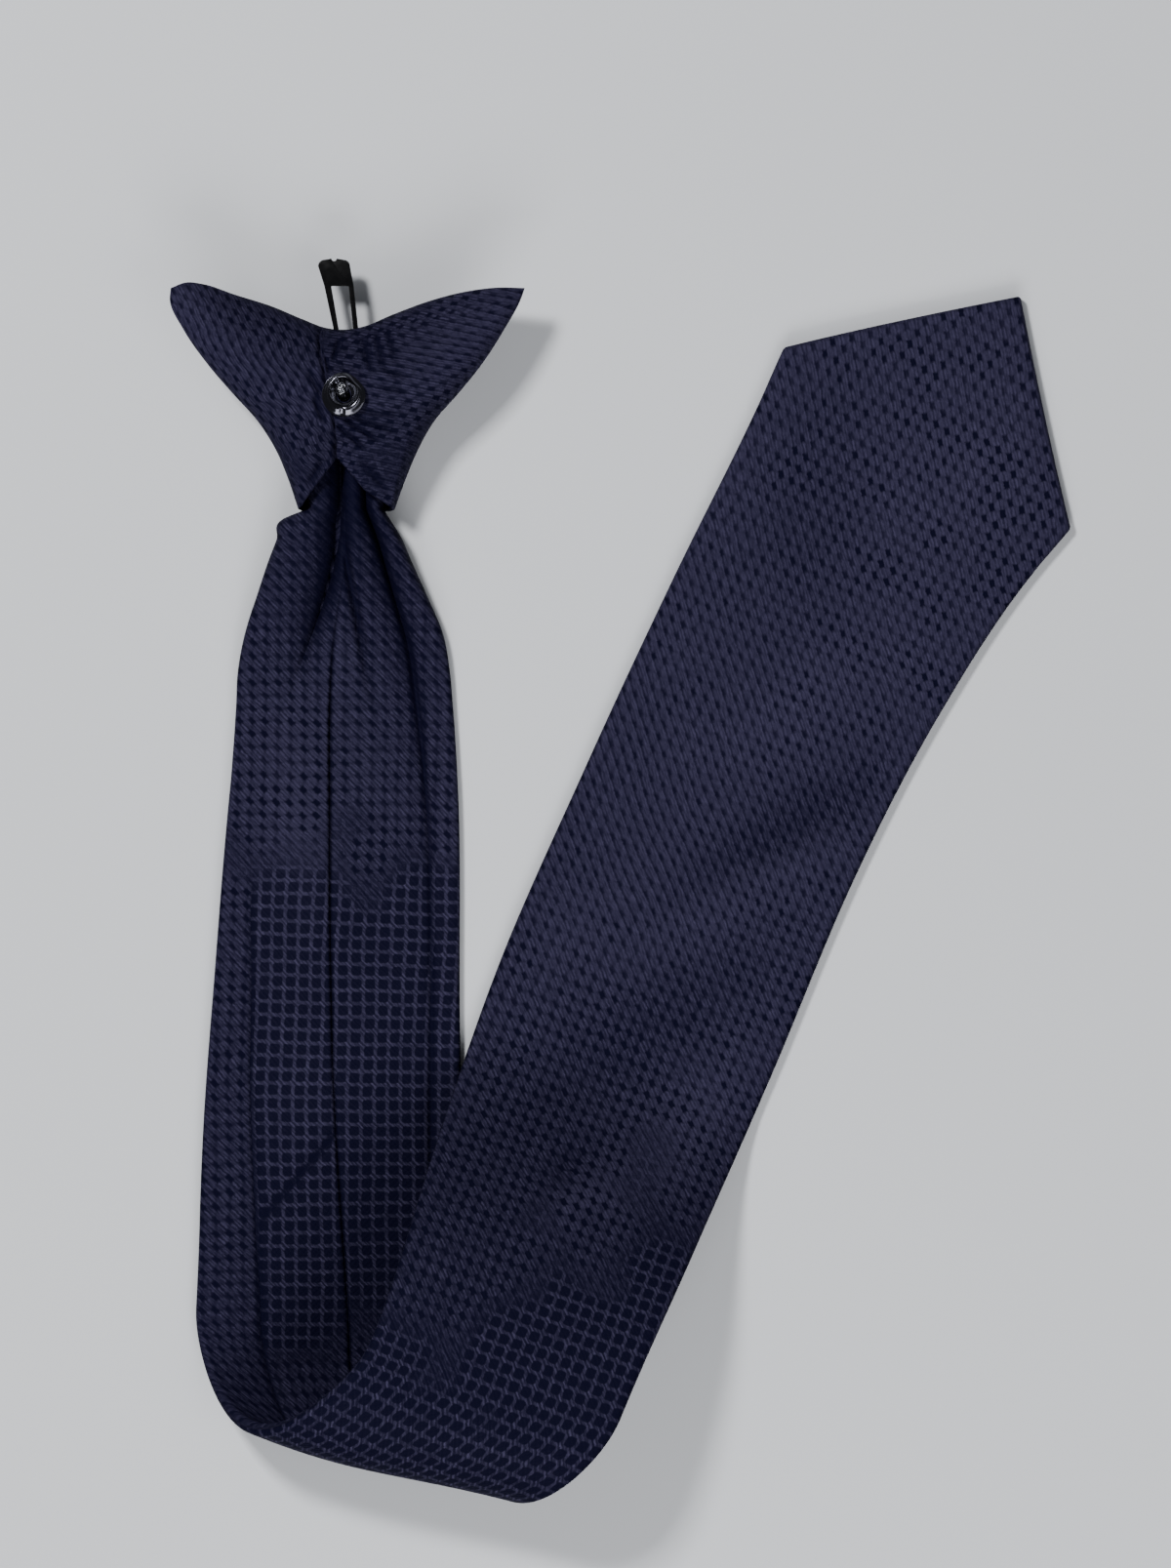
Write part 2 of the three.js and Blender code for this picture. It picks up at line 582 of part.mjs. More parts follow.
// The clip lies level, its legs leaning, with its foot under the rivet.
const CLIP_LEVEL = 0.37 * KNOT_THICKNESS;
function clipOutline(grow) {
  const notch = KNOT_HEIGHT * through(KNOT_TOP, -0.02, "up");
  const lean = Math.tan(THREE.MathUtils.degToRad(CLIP_LEAN));
  const headTop = notch + CLIP_OUT;
  const slotTop = headTop - CLIP_HEAD;
  const centre = (y) => CLIP_CENTRE + (notch - y) * lean;
  const headCentre = centre(headTop) + HEAD_ASIDE;
  const inside = notch - CLIP_STRAIGHT;
  const low = rivetAt.y + FOOT_HEIGHT / 2;
  const shape = new THREE.Shape();
  const headHalf = CLIP_WIDTH / 2 + grow;
  const rise = (y) => clamp((y - notch) / (slotTop - notch));
  const slotHalf = (y) => mix(SLOT_WIDTH_LOW, SLOT_WIDTH, rise(y)) / 2;
  const legWidth = (y, sign) => (sign < 0 ? mix(CLIP_LEG, CLIP_ROOT, rise(y)) : CLIP_LEG);
  const outer = (y, sign) => centre(y) + sign * (slotHalf(y) + legWidth(y, sign) + grow);
  const footHalf = FOOT_WIDTH / 2 + grow;
  const footLow = rivetAt.y - FOOT_HEIGHT / 2 - grow;
  shape.moveTo(rivetAt.x - footHalf, footLow);
  shape.lineTo(rivetAt.x + footHalf, footLow);
  shape.lineTo(rivetAt.x + footHalf, low);
  shape.lineTo(outer(inside, 1), inside);
  shape.lineTo(outer(notch, 1), notch);
  shape.lineTo(outer(slotTop, 1), slotTop);
  const corner = headHalf - CLIP_CORNER;
  shape.absarc(headCentre + corner, headTop - CLIP_CORNER, CLIP_CORNER, 0, Math.PI / 2);
  shape.absarc(headCentre, headTop + DIMPLE / 2, DIMPLE, 0, Math.PI, true);
  shape.absarc(headCentre - corner, headTop - CLIP_CORNER, CLIP_CORNER, Math.PI / 2, Math.PI);
  shape.lineTo(outer(slotTop, -1), slotTop);
  shape.lineTo(outer(notch, -1), notch);
  shape.lineTo(outer(inside, -1), inside);
  shape.lineTo(rivetAt.x - footHalf, low);
  shape.closePath();
  const slot = new THREE.Path();
  slot.moveTo(centre(slotTop) - slotHalf(slotTop), slotTop);
  slot.lineTo(centre(slotTop) + slotHalf(slotTop), slotTop);
  slot.lineTo(centre(notch) + slotHalf(notch), notch);
  slot.lineTo(centre(inside) + slotHalf(notch), inside);
  slot.lineTo(centre(inside) - slotHalf(notch), inside);
  slot.lineTo(centre(notch) - slotHalf(notch), notch);
  slot.closePath();
  const hole = new THREE.Path();
  hole.absarc(rivetAt.x, rivetAt.y, SHANK_RADIUS + CLEARANCE, 0, 2 * Math.PI, true);
  if (grow === 0) shape.holes.push(slot, hole);
  return shape;
}
const CLIP_CENTRE = -0.1; // the legs' middle at the notch
const HEAD_ASIDE = -0.5; // how far the head stands to the left of the legs' line
const DIMPLE = 0.6; // radius of the small nick in the head's top edge

function clipSolid(grow) {
  const depth = CLIP_THICKNESS + 2 * grow;
  const plate = new THREE.ExtrudeGeometry(clipOutline(grow), { depth, bevelEnabled: false, curveSegments: 6 });
  plate.translate(0, 0, CLIP_LEVEL - grow);
  return geometrySolid(plate);
}

// A solid of revolution about the rivet's axis, from radius and height pairs.
function turned(profile, base) {
  const outline = profile.map(([radius, height]) => new THREE.Vector2(radius, height));
  const lathe = new THREE.LatheGeometry(outline, 24);
  lathe.rotateX(Math.PI / 2).translate(rivetAt.x, rivetAt.y, base);
  return geometrySolid(lathe);
}
function makeRivetCap() {
  const bore = SHANK_RADIUS + CLEARANCE;
  const rim = RIVET_RADIUS;
  const dome = Array.from({ length: 9 }, (_, i) => {
    const angle = (Math.PI * i) / 8;
    const reach = mix(rim, RIVET_HOLLOW, (1 - Math.cos(angle)) / 2);
    return [reach, RIVET_RISE * (0.3 + 0.7 * Math.sin(angle))];
  });
  const floor = RIVET_RISE * 0.3;
  return turned([[bore, 0], [rim, 0], ...dome, [bore, floor], [bore, 0]], SEAT_HEIGHT + CLEARANCE);
}
function makeRivetShank() {
  const foot = CLIP_LEVEL - CLEARANCE - RIVET_FOOT;
  const top = SEAT_HEIGHT + CLEARANCE + 0.75 * RIVET_RISE;
  const flange = SHANK_RADIUS * 1.8;
  const profile = [
    [0, 0],
    [flange, 0],
    [flange, RIVET_FOOT],
    [SHANK_RADIUS, RIVET_FOOT],
    [SHANK_RADIUS, top - foot - 0.5],
    [SHANK_RADIUS * 0.7, top - foot],
    [0, top - foot - 0.3],
  ];
  return turned(profile, foot);
}
const RIVET_FOOT = 0.8; // thickness of the flange that holds the clip's foot

// Colours, roughness and metalness of the two finishes
const cloth = new THREE.MeshStandardMaterial({ color: 0x1f2139, roughness: 0.62, metalness: 0 });
const lacquer = new THREE.MeshStandardMaterial({ color: 0x08080a, roughness: 0.28, metalness: 0 });
const blacked = new THREE.MeshStandardMaterial({ color: 0x0b0b0d, roughness: 0.12, metalness: 0.9 });

const tie = new THREE.Group();
tie.add(meshOf("tie_strip", makeStrip(), cloth));
tie.add(meshOf("knot_cover", makeKnot(clipSolid(CLEARANCE)), cloth));
tie.add(meshOf("clip", clipSolid(0), lacquer));
tie.add(meshOf("rivet_cap", makeRivetCap(), blacked));
tie.add(meshOf("rivet_shank", makeRivetShank(), blacked));

const bounds = new THREE.Box3().setFromObject(tie);
const centre = bounds.getCenter(new THREE.Vector3());
tie.position.set(-centre.x, -centre.y, -bounds.min.z);

export default tie;
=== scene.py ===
from functools import partial
import bmesh
import bpy
import numpy as np
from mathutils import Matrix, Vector


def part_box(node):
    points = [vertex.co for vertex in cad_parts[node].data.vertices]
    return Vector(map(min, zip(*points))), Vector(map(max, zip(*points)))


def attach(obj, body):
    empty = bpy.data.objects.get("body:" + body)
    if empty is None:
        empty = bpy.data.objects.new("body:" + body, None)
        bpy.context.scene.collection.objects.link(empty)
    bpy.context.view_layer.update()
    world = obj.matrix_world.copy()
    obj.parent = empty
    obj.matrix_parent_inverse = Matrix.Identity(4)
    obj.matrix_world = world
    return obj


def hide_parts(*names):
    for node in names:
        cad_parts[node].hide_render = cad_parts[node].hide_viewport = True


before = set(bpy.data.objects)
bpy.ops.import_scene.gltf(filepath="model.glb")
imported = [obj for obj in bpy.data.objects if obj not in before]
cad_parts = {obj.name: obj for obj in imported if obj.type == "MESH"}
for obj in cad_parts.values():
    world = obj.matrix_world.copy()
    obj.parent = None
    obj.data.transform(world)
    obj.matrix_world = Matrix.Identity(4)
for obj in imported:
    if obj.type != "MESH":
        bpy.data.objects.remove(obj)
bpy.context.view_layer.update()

MM = 0.001


def table(columns, *rows):
    """Rows of numbers under named columns."""
    return dict(zip(columns.split(), np.array(rows, float).T))


def through(rows, at, column):
    """A smooth curve through one column of a table, read at places in its first column: cubic pieces whose
    slope at each row is the mean of its neighbours' slopes."""
    x, y = next(iter(rows.values())), rows[column]
    slope = np.gradient(y, x)
    at = np.clip(at, x[0], x[-1])
    i = np.clip(np.searchsorted(x, at, "right") - 1, 0, len(x) - 2)
    h = x[i + 1] - x[i]
    t = (at - x[i]) / h
    start = (1 + 2 * t) * (1 - t) ** 2 * y[i] + t * (1 - t) ** 2 * h * slope[i]
    return start + t * t * (3 - 2 * t) * y[i + 1] - t * t * (1 - t) * h * slope[i + 1]


def smooth(t):
    """0 below 0, 1 above 1, and a soft S between."""
    t = np.clip(t, 0, 1)
    return t * t * (3 - 2 * t)


def mix(a, b, t):
    """From a at 0 to b at 1."""
    return a + (b - a) * t


def bell(away, wide=1):
    """1 on a line, falling off to both sides: e to the power of minus the square of away over wide."""
    return np.exp(-((away / wide) ** 2))


# The strip's sizes
STRIP_LENGTH = 549.5
BLADE_WIDTH = 80
TAIL_WIDTH = 50
STRIP_THICKNESS = 3.2
NECK_THICKNESS = 2.6
FLAP_THICKNESS = 1
GATHER_LENGTH = 46
NECK_INSIDE = 15
NECK_ASIDE = -0.4
ROLL_HEIGHT = 7.4
POINT_BLUNT = 0.4
FOLD_REACH = 210.2
FOLD_CURL = 50.8
FOLD_FALL = 93.6
FOLD_SLIP = 26.3
FOLD_TILT = np.radians(-16.7)
FOLD_BELLY = 3.6
CURL_EVENNESS = 0.6  # at 0 the curl starts and ends softly, at 1 it turns evenly all the way
FALL_POWER = 1.3
SLIP_EARLY = 2.5
SLIP_LENGTH = 1.19
BELLY_AT = 57.6
BELLY_LENGTH = 32

# The knot's, the clip's and the rivet's sizes
KNOT_WIDTH = 84
KNOT_HEIGHT = 52.5
KNOT_THICKNESS = 21
OPENING_WIDTH = 22.8
OPENING_RISE = 12.4
WING_LIFT = 8
COVER_WALL = 2
LAPEL_STEP = 1
LINING_UP = 0.72  # how far up inside the knot its lining is drawn, as a share of the height
TOP_CORNER = 0.985  # the wings' corners: how high, as a share of the height
TOP_LEFT = -0.98  # and how far out the left one is, where the right one is at 1
SEAM_LOW = 0.44  # where the right lapel's edge runs at the opening, from 0 on the left to 1 on the right
SEAM_HIGH = 0.43
SEAM_GAP = 0.0015
SEAM_GROOVE = (1.3, 0.75)  # depth and half width
DENT_DEPTH = 1.4
CLIP_BOTTOM = 0.37 * KNOT_THICKNESS
CLEARANCE = 0.3
RIVET_AT = np.array([-0.011 * KNOT_WIDTH / 2, 0.504 * KNOT_HEIGHT])
RIVET_RADIUS = 5.1
RIVET_HOLLOW = 3
RIVET_RISE = 2.1
SHANK_RADIUS = 1.5
SEAT_HEIGHT = 0.93 * KNOT_THICKNESS
SEAT_FLAT = 1.45
SEAT_BLEND = 2.3
FACE_FLAT = 1.3  # the knot's face is flat where its fullness is past 1 over this
NECK_HALF = OPENING_WIDTH / 2 - COVER_WALL - CLEARANCE

# The strip laid flat: its swing from straight down in degrees, and its width as a share of the tail's
LAYOUT = table(
    "along swing width",
    (-0.03, 0, 0.92), (0, 0, 0.94), (0.076, 0, 1), (0.127, -1.8, 1.085), (0.217, -2, 1.171),
    (0.307, 0.9, 1.271), (0.389, -2.6, 1.335), (0.47, -11.1, 1.222), (0.557, -12.9, 1.309),
    (0.651, -11.1, 1.388), (0.741, -8.9, 1.372), (0.823, -5.6, 1.408), (0.904, -2, 1.523),
    (0.928, -1.1, 1.598), (1, 0.7, 1.651),
)
# How far the gathers have opened on each side, and how high the rolls still are
GATHERS = table(
    "below left right roll",
    (-0.4, 0, 0, 1), (0, 0, 0, 1), (0.05, 0.38, 0.1, 1), (0.155, 0.48, 0.3, 0.95),
    (0.24, 0.58, 0.41, 0.86), (0.43, 0.77, 0.66, 0.6), (0.63, 0.95, 0.9, 0.3),
    (0.85, 1.04, 0.99, 0.08), (1, 1.03, 1, 0), (1.4, 1, 1, 0),
)
# The lines down the back, from -1 at the left edge to 1 at the right
LINES = table(
    "along left seam right",
    (-0.03, -0.12, 0.04, 0.46), (0.02, -0.14, 0.02, 0.58), (0.045, -0.28, -0.08, 0.6),
    (0.08, -0.5, -0.13, 0.66), (0.14, -0.72, -0.1, 0.74), (0.22, -0.67, -0.02, 0.77),
    (0.3, -0.58, 0.06, 0.73), (0.38, -0.5, 0.12, 0.7), (0.5, -0.5, 0.06, 0.7), (1, -0.5, 0, 0.7),
)
# The depth of the two pressed creases beside the seam, in shares of the strip's thickness
CREASES = table(
    "along left right",
    (-0.03, 0.55, 0.3), (0.03, 0.75, 0.5), (0.05, 0.6, 0.65), (0.07, 0.2, 0.65), (0.1, 0.02, 0.55),
    (0.14, 0.06, 0.46), (0.22, 0.3, 0.4), (0.38, 0.28, 0.25), (0.46, 0.1, 0.06), (0.52, 0, 0), (1, 0, 0),
)
# Soft dents and swells of the cloth's upper side: where, how far it spreads, its turn and its height
SWELLS = table(
    "along across long wide turn height",
    (0.045, 0.13, 18, 0.9, 10.5, -2.6), (0.055, -0.05, 16, 3, 5, 0.5),
    (0.135, -0.35, 26, 8, 8, 0.6), (0.17, 0.3, 22, 9, -6, -0.4), (0.25, -0.2, 20, 12, 0, 0.5),
    (0.3, 0.35, 24, 8, 0, -0.5), (0.578, -0.06, 6, 3.2, 20, -1), (0.56, 0.06, 12, 5, 30, 0.8),
    (0.6, 0.55, 30, 9, 20, 0.8), (0.64, 0.05, 34, 8, 35, -0.7), (0.7, -0.35, 30, 8, 35, 0.6),
    (0.715, 0.3, 26, 6, 38, 0.9), (0.749, 0.42, 30, 7, 36, -1.2), (0.8, 0.1, 34, 10, 30, 0.7),
    (0.88, -0.4, 30, 14, -20, -0.5), (0.93, 0.3, 26, 16, 10, 0.6),
)
# Painted sheen of the weave: how the yarn catches the light, place by place, because small waves turn its
# sheen, painted into the cloth's look: 0 is dark cells in a light net, 1 is light ribs with dark ticks. The
# side is 1 on the tail's back and -1 on the blade's face.
CATCH = table(
    "side along across catch",
    (1, 0.03, -0.85, 0.8), (1, 0.025, -0.35, 0.9), (1, 0.035, 0.3, 0.85), (1, 0.09, -0.45, 0.15),
    (1, 0.125, -0.6, 0.85), (1, 0.07, 0.4, 1), (1, 0.11, 0.3, 0.8), (1, 0.16, 0.35, 0.02),
    (1, 0.165, -0.3, 0), (1, 0.2, -0.3, 0), (1, 0.235, 0.45, 0), (1, 0.2, -1, 0.3), (1, 0.13, 0.93, 0.45),
    (1, 0.27, -0.3, 0), (1, 0.32, -0.2, 0.05), (1, 0.3, 0.4, 0.05), (1, 0.3, -1, 0.3), (1, 0.38, 0, 0.5),
    (-1, 0.99, 0, 0.6), (-1, 0.93, -0.6, 0.65), (-1, 0.92, 0.85, 0.5), (-1, 0.85, 0.5, 0.6),
    (-1, 0.81, -0.6, 0.8), (-1, 0.76, 0.3, 0.85), (-1, 0.72, -0.1, 1), (-1, 0.7, 0.88, 0.5),
    (-1, 0.62, -0.3, 0.46), (-1, 0.655, 0.3, 0.85), (-1, 0.58, -0.1, 0.42), (-1, 0.6, 0.75, 0.35),
    (-1, 0.54, -0.7, 0.55), (-1, 0.53, 0.4, 0.15), (-1, 0.44, 0, 0.12),
)
CATCH_SPREAD = 18
# Left of the left crease the cloth lies at another angle, from so far down the strip, so its weave is painted
# as catching more light there
TURNED_CATCH = 0.45
TURNED_FROM = 85
# Painted sheen: how bright the satin's sheen is painted into its colour along the strip, more on the blade's
# face than on the tail's back
PAINTED_SHEEN = table(
    "along gleam",
    (-0.03, 0.5), (0.05, 0.6), (0.13, 0.65), (0.25, 0.55), (0.4, 0.45), (0.48, 0.45), (0.56, 0.55),
    (0.64, 0.66), (0.75, 0.74), (0.88, 0.78), (1, 0.78),
)
# Painted light and shade on the swells' slopes
SWELL_PAINTED_SHEEN = 0.2  # for each millimetre of a swell
# Shades beside each line of the back: a narrow one and where it starts, and a wide one and where it ends
LINE_NAMES = ("left", "seam", "right")
FOLD_SHADES = table(
    "line narrow deep starts wide reach lasts",
    (0, 0.6, 0.5, 80, 0.62, 3.2, 44), (1, 0.4, 0.3, 0, 0, 1, 50), (2, 0.6, 0.55, -30, 0.55, 1.5, 84),
)
# The slanting seam that pieces the left flap: a point on it, its slant, depth and half width
PIECING_ACROSS = 0.3
PIECING_ALONG = 147.3
PIECING_SLANT = np.radians(41)
PIECING_DEPTH = 0.7
PIECING_WIDE = 0.7
PIECING_SHADE = 0.9


def place(points):
    """Millimetres from the knot's opening, turned into the frame's metres."""
    return np.asarray(points) * MM + SHIFT


low, high = (np.array(corner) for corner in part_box("rivet_cap"))
SHIFT = np.array([*((low + high) / 2)[:2], 0]) - np.array([*RIVET_AT, 0]) * MM


def surface(name, points, faces, uv=None, merge=None, **shares):
    """A smooth mesh from rows of points in millimetres and rows of corner numbers. For each point uv is its
    place in millimetres on the cloth, and each share a number that the material reads under its name. Points
    closer than merge, in millimetres, become one, and the faces are then turned outwards."""
    mesh = bpy.data.meshes.new(name)
    mesh.from_pydata(place(points.reshape(-1, 3)).tolist(), [], faces.tolist())
    if uv is not None:
        layer = mesh.uv_layers.new(name="cloth")
        corners = np.zeros(len(mesh.loops), int)
        mesh.loops.foreach_get("vertex_index", corners)
        layer.data.foreach_set("uv", (uv.reshape(-1, 2)[corners] * MM).ravel())
    for key, values in shares.items():
        mesh.attributes.new(key, "FLOAT", "POINT").data.foreach_set("value", values.ravel())
    mesh.polygons.foreach_set("use_smooth", np.ones(len(mesh.polygons), bool))
    mesh.update()
    if merge:
        shape = bmesh.new()
        shape.from_mesh(mesh)
        bmesh.ops.remove_doubles(shape, verts=shape.verts, dist=merge * MM)
        bmesh.ops.recalc_face_normals(shape, faces=shape.faces)
        shape.to_mesh(mesh)
        shape.free()
    piece = bpy.data.objects.new(name, mesh)
    bpy.context.scene.collection.objects.link(piece)
    return piece


def ring_faces(rings, count):
    """Four-cornered faces between closed rings of points, each ring joined to the next."""
    r, k = np.meshgrid(np.arange(rings - 1) * count, np.arange(count), indexing="ij")
    n = (k + 1) % count
    return np.stack([r + k, r + n, r + count + n, r + count + k], -1).reshape(-1, 4)


# The strip
STEP = 0.5
CORNER_AT = STRIP_LENGTH - BLADE_WIDTH / 2


def walk_middle():
    """The flat strip's middle line: short steps down its swing, from inside the knot to the point."""
    v = np.arange(-NECK_INSIDE, STRIP_LENGTH + 2 * STEP, STEP)
    swing = np.radians(through(LAYOUT, v / STRIP_LENGTH, "swing"))
    heading = np.stack([np.sin(swing), -np.cos(swing)], -1)
    at = np.array([NECK_ASIDE, NECK_INSIDE]) + np.vstack([[0, 0], np.cumsum(heading[:-1] * STEP, axis=0)])
    return v, at, np.stack([-heading[:, 1], heading[:, 0]], -1)


def walk_fold():
    """The roll seen from its end: a curl whose turn goes from 0 to half a circle, then an S down to rest.
    How far out the cloth has got, and how high, at each step past the start of the bend."""
    rest = STRIP_THICKNESS / 2
    share = np.arange(STEP / 2, FOLD_CURL, STEP) / FOLD_CURL
    angle = np.pi * mix(smooth(share), share, CURL_EVENNESS)
    out = np.concatenate([[0], np.cumsum(STEP * np.cos(angle))])
    up = rest + np.concatenate([[0], np.cumsum(STEP * np.sin(angle))])
    fallen = smooth((np.arange(STEP, FOLD_FALL, STEP) / FOLD_FALL) ** FALL_POWER)
    drop = mix(up[-1], rest, fallen)
    back = out[-1] - np.cumsum(np.sqrt(STEP**2 - np.diff(np.concatenate([[up[-1]], drop])) ** 2))
    return np.concatenate([out, back]), np.concatenate([up, drop]), rest


MIDDLE = walk_middle()
FOLD_OUT, FOLD_UP, FOLD_REST = walk_fold()
FOLD_START = FOLD_REACH - FOLD_OUT.max()


def half_width(v, u):
    """Half the strip's width on one side: the neck, the gathers opening, the layout and the point."""
    full = TAIL_WIDTH / 2 * through(LAYOUT, v / STRIP_LENGTH, "width")
    below = v / GATHER_LENGTH
    opened = np.where(u < 0, through(GATHERS, below, "left"), through(GATHERS, below, "right"))
    return np.minimum(mix(NECK_HALF, full, np.maximum(0, opened)), STRIP_LENGTH - v + POINT_BLUNT)


def flat_place(v, u):
    """The flat strip's place at v along and u across."""
    steps, at, across = MIDDLE
    x, y, dx, dy = (np.interp(v, steps, column) for column in (*at.T, *across.T))
    reach = u * half_width(v, u) / np.hypot(dx, dy)
    return np.stack([x + reach * dx, y + reach * dy], -1)


def fold_place(flat):
    """Rolls the flat strip over: along the roll it only slips, and across it the cloth goes round the curl,
    with a belly that a bell curve along the roll pushes out."""
    roll = np.array([np.cos(FOLD_TILT), np.sin(FOLD_TILT)])
    out = np.array([np.sin(FOLD_TILT), -np.cos(FOLD_TILT)])
    past = flat @ out - FOLD_START
    slid = flat @ roll + FOLD_SLIP * smooth((past + SLIP_EARLY) / (SLIP_LENGTH * FOLD_CURL))
    round_curl = np.sin(np.pi * np.clip(past / FOLD_CURL, 0, 1))
    belly = FOLD_BELLY * bell(slid - BELLY_AT, BELLY_LENGTH) * round_curl**2
    steps = np.arange(len(FOLD_OUT)) * STEP
    beyond = np.maximum(0, past - steps[-1])
    reach = np.where(past > 0, np.interp(past, steps, FOLD_OUT) - beyond, past)
    up = np.where(past > 0, np.interp(past, steps, FOLD_UP), FOLD_REST)
    plan = slid[..., None] * roll + (reach + FOLD_START + belly)[..., None] * out
    return np.concatenate([plan, up[..., None]], -1)


def line(v, column):
    """Where one of the back's lines runs, from the table."""
    return through(LINES, v / STRIP_LENGTH, column)


def gather_height(v, u):
    """The three rolls of the gathers: each a half ellipse between two lines of the back, dying out below,
    over valleys that clear the knot's lip."""
    roll = through(GATHERS, v / GATHER_LENGTH, "roll")
    left, right = line(v, "left"), line(v, "right")
    start = np.where(u < left, -1, np.where(u < right, left, right))
    end = np.where(u < left, left, np.where(u < right, right, 1))
    q = np.clip((u - start) / (end - start), 0, 1)
    valley = NECK_THICKNESS / 2 + COVER_WALL + CLEARANCE - STRIP_THICKNESS / 2
    return roll * (valley + (ROLL_HEIGHT - NECK_THICKNESS) * np.sqrt(4 * q * (1 - q)))


def strip_normal(v, u):
    """The folded cloth's upright on the back's side, from places one step to each side."""
    flat = flat_place(v, u)
    right = fold_place(flat + [STEP, 0]) - fold_place(flat - [STEP, 0])
    up = fold_place(flat + [0, STEP]) - fold_place(flat - [0, STEP])
    normal = np.cross(right, up)
    return normal / np.linalg.norm(normal, axis=-1, keepdims=True)


def from_edge(v, u):
    """How far in from the nearer long edge, in millimetres."""
    return (1 - np.abs(u)) * half_width(v, u)


def half_thickness(v, u):
    """Half the thickness, a quarter circle over the edges."""
    half = mix(NECK_THICKNESS, STRIP_THICKNESS, smooth(v / GATHER_LENGTH)) / 2
    round_over = np.minimum(1, from_edge(v, u) / half)
    return half * np.sqrt(1 - (1 - round_over) ** 2)


def back_relief(v, u):
    """What is let into the back: the left flap under the right one with a bell-shaped groove along the lap,
    two pressed creases, each a narrow bell curve on a wide one, and the slanting seam of the left flap."""
    seam = line(v, "seam")
    opened = smooth(v / GATHER_LENGTH - 0.2)
    beside = (seam - u) * half_width(v, u)
    under = FLAP_THICKNESS * (1 + u) / (1 + seam) + 1.2 * bell(beside, 0.55)
    over = 0.3 * bell(beside, 0.6)
    groove = opened * np.where(u < seam, under, np.where(u > seam, over, 0)) + PIECING_DEPTH * piecing(v, u)
    for side in ("left", "right"):
        away = (u - line(v, side)) * half_width(v, u)
        depth = STRIP_THICKNESS * through(CREASES, v / STRIP_LENGTH, side)
        groove = groove + 0.6 * depth * (bell(away, 0.8) + bell(away, 3.4))
    return -groove * smooth(from_edge(v, u) / STRIP_THICKNESS)


def piecing(v, u):
    """1 on the slanting seam of the left flap, falling off to both sides by a bell curve."""
    away = (u * half_width(v, u) - PIECING_ACROSS) * np.cos(PIECING_SLANT)
    away = away + (v - PIECING_ALONG) * np.sin(PIECING_SLANT)
    on_flap = smooth((line(v, "seam") - u) / 0.02) * smooth((u - line(v, "left")) / 0.05)
    return bell(away, PIECING_WIDE) * on_flap


def swells(v, u):
    """Soft ovals, raised or sunk by a bell curve along them times one across them."""
    x = u * half_width(v, u)
    total = 0
    for along, across, long, wide, turn, height in zip(*SWELLS.values()):
        dv = v - along * STRIP_LENGTH
        dx = x - across * half_width(np.array(along * STRIP_LENGTH), across)
        c, s = np.cos(np.radians(turn)), np.sin(np.radians(turn))
        total = total + height * bell(dv * c + dx * s, long) * bell(dx * c - dv * s, wide)
    return total * smooth(from_edge(v, u) / 8)


def shadows(v, u):
    """How much less the satin gleams where it turns away into the folds: beside each line of the back a
    narrow bell curve, and a wide one as long as the gathers last. The slanting seam is shaded too."""
    total = PIECING_SHADE * piecing(v, u)
    for column, narrow, deep, starts, wide, reach, lasts in zip(*FOLD_SHADES.values()):
        away = (u - line(v, LINE_NAMES[int(column)])) * half_width(v, u)
        total = total + deep * smooth((v - starts) / 30) * bell(away, narrow)
        soft = bell(away, reach) + 0.3 * bell(away, 3 * reach)
        total = total + wide * smooth(1.5 * (1 - v / lasts)) * soft
    return total


def catch_light(side, v, u):
    """The table's values, each weighed by a bell curve of how far away its place is."""
    total = weights = 1e-9  # not quite 0, because the weights divide
    for on, along, across, value in zip(*CATCH.values()):
        dv = v - along * STRIP_LENGTH
        dx = (u - across) * half_width(np.array(along * STRIP_LENGTH), across)
        weight = bell(np.hypot(dv, dx), np.sqrt(2) * CATCH_SPREAD) * (side == on)
        total, weights = total + value * weight, weights + weight
    turned_over = smooth((line(v, "left") - u) / 0.02) * smooth((v - TURNED_FROM) / 15) * (side > 0)
    return total / weights + TURNED_CATCH * turned_over


def spread(stops):
    """Rows of places: even steps between each two stops, as many as the row says."""
    return np.concatenate([np.linspace(a, b, n, endpoint=False) for a, b, n in stops])


def even_turns(count):
    """Shares from 0 to 1, closer together at both ends, as even steps round half a circle from its side."""
    return 0.5 - 0.5 * np.cos(np.pi * np.linspace(0, 1, count))


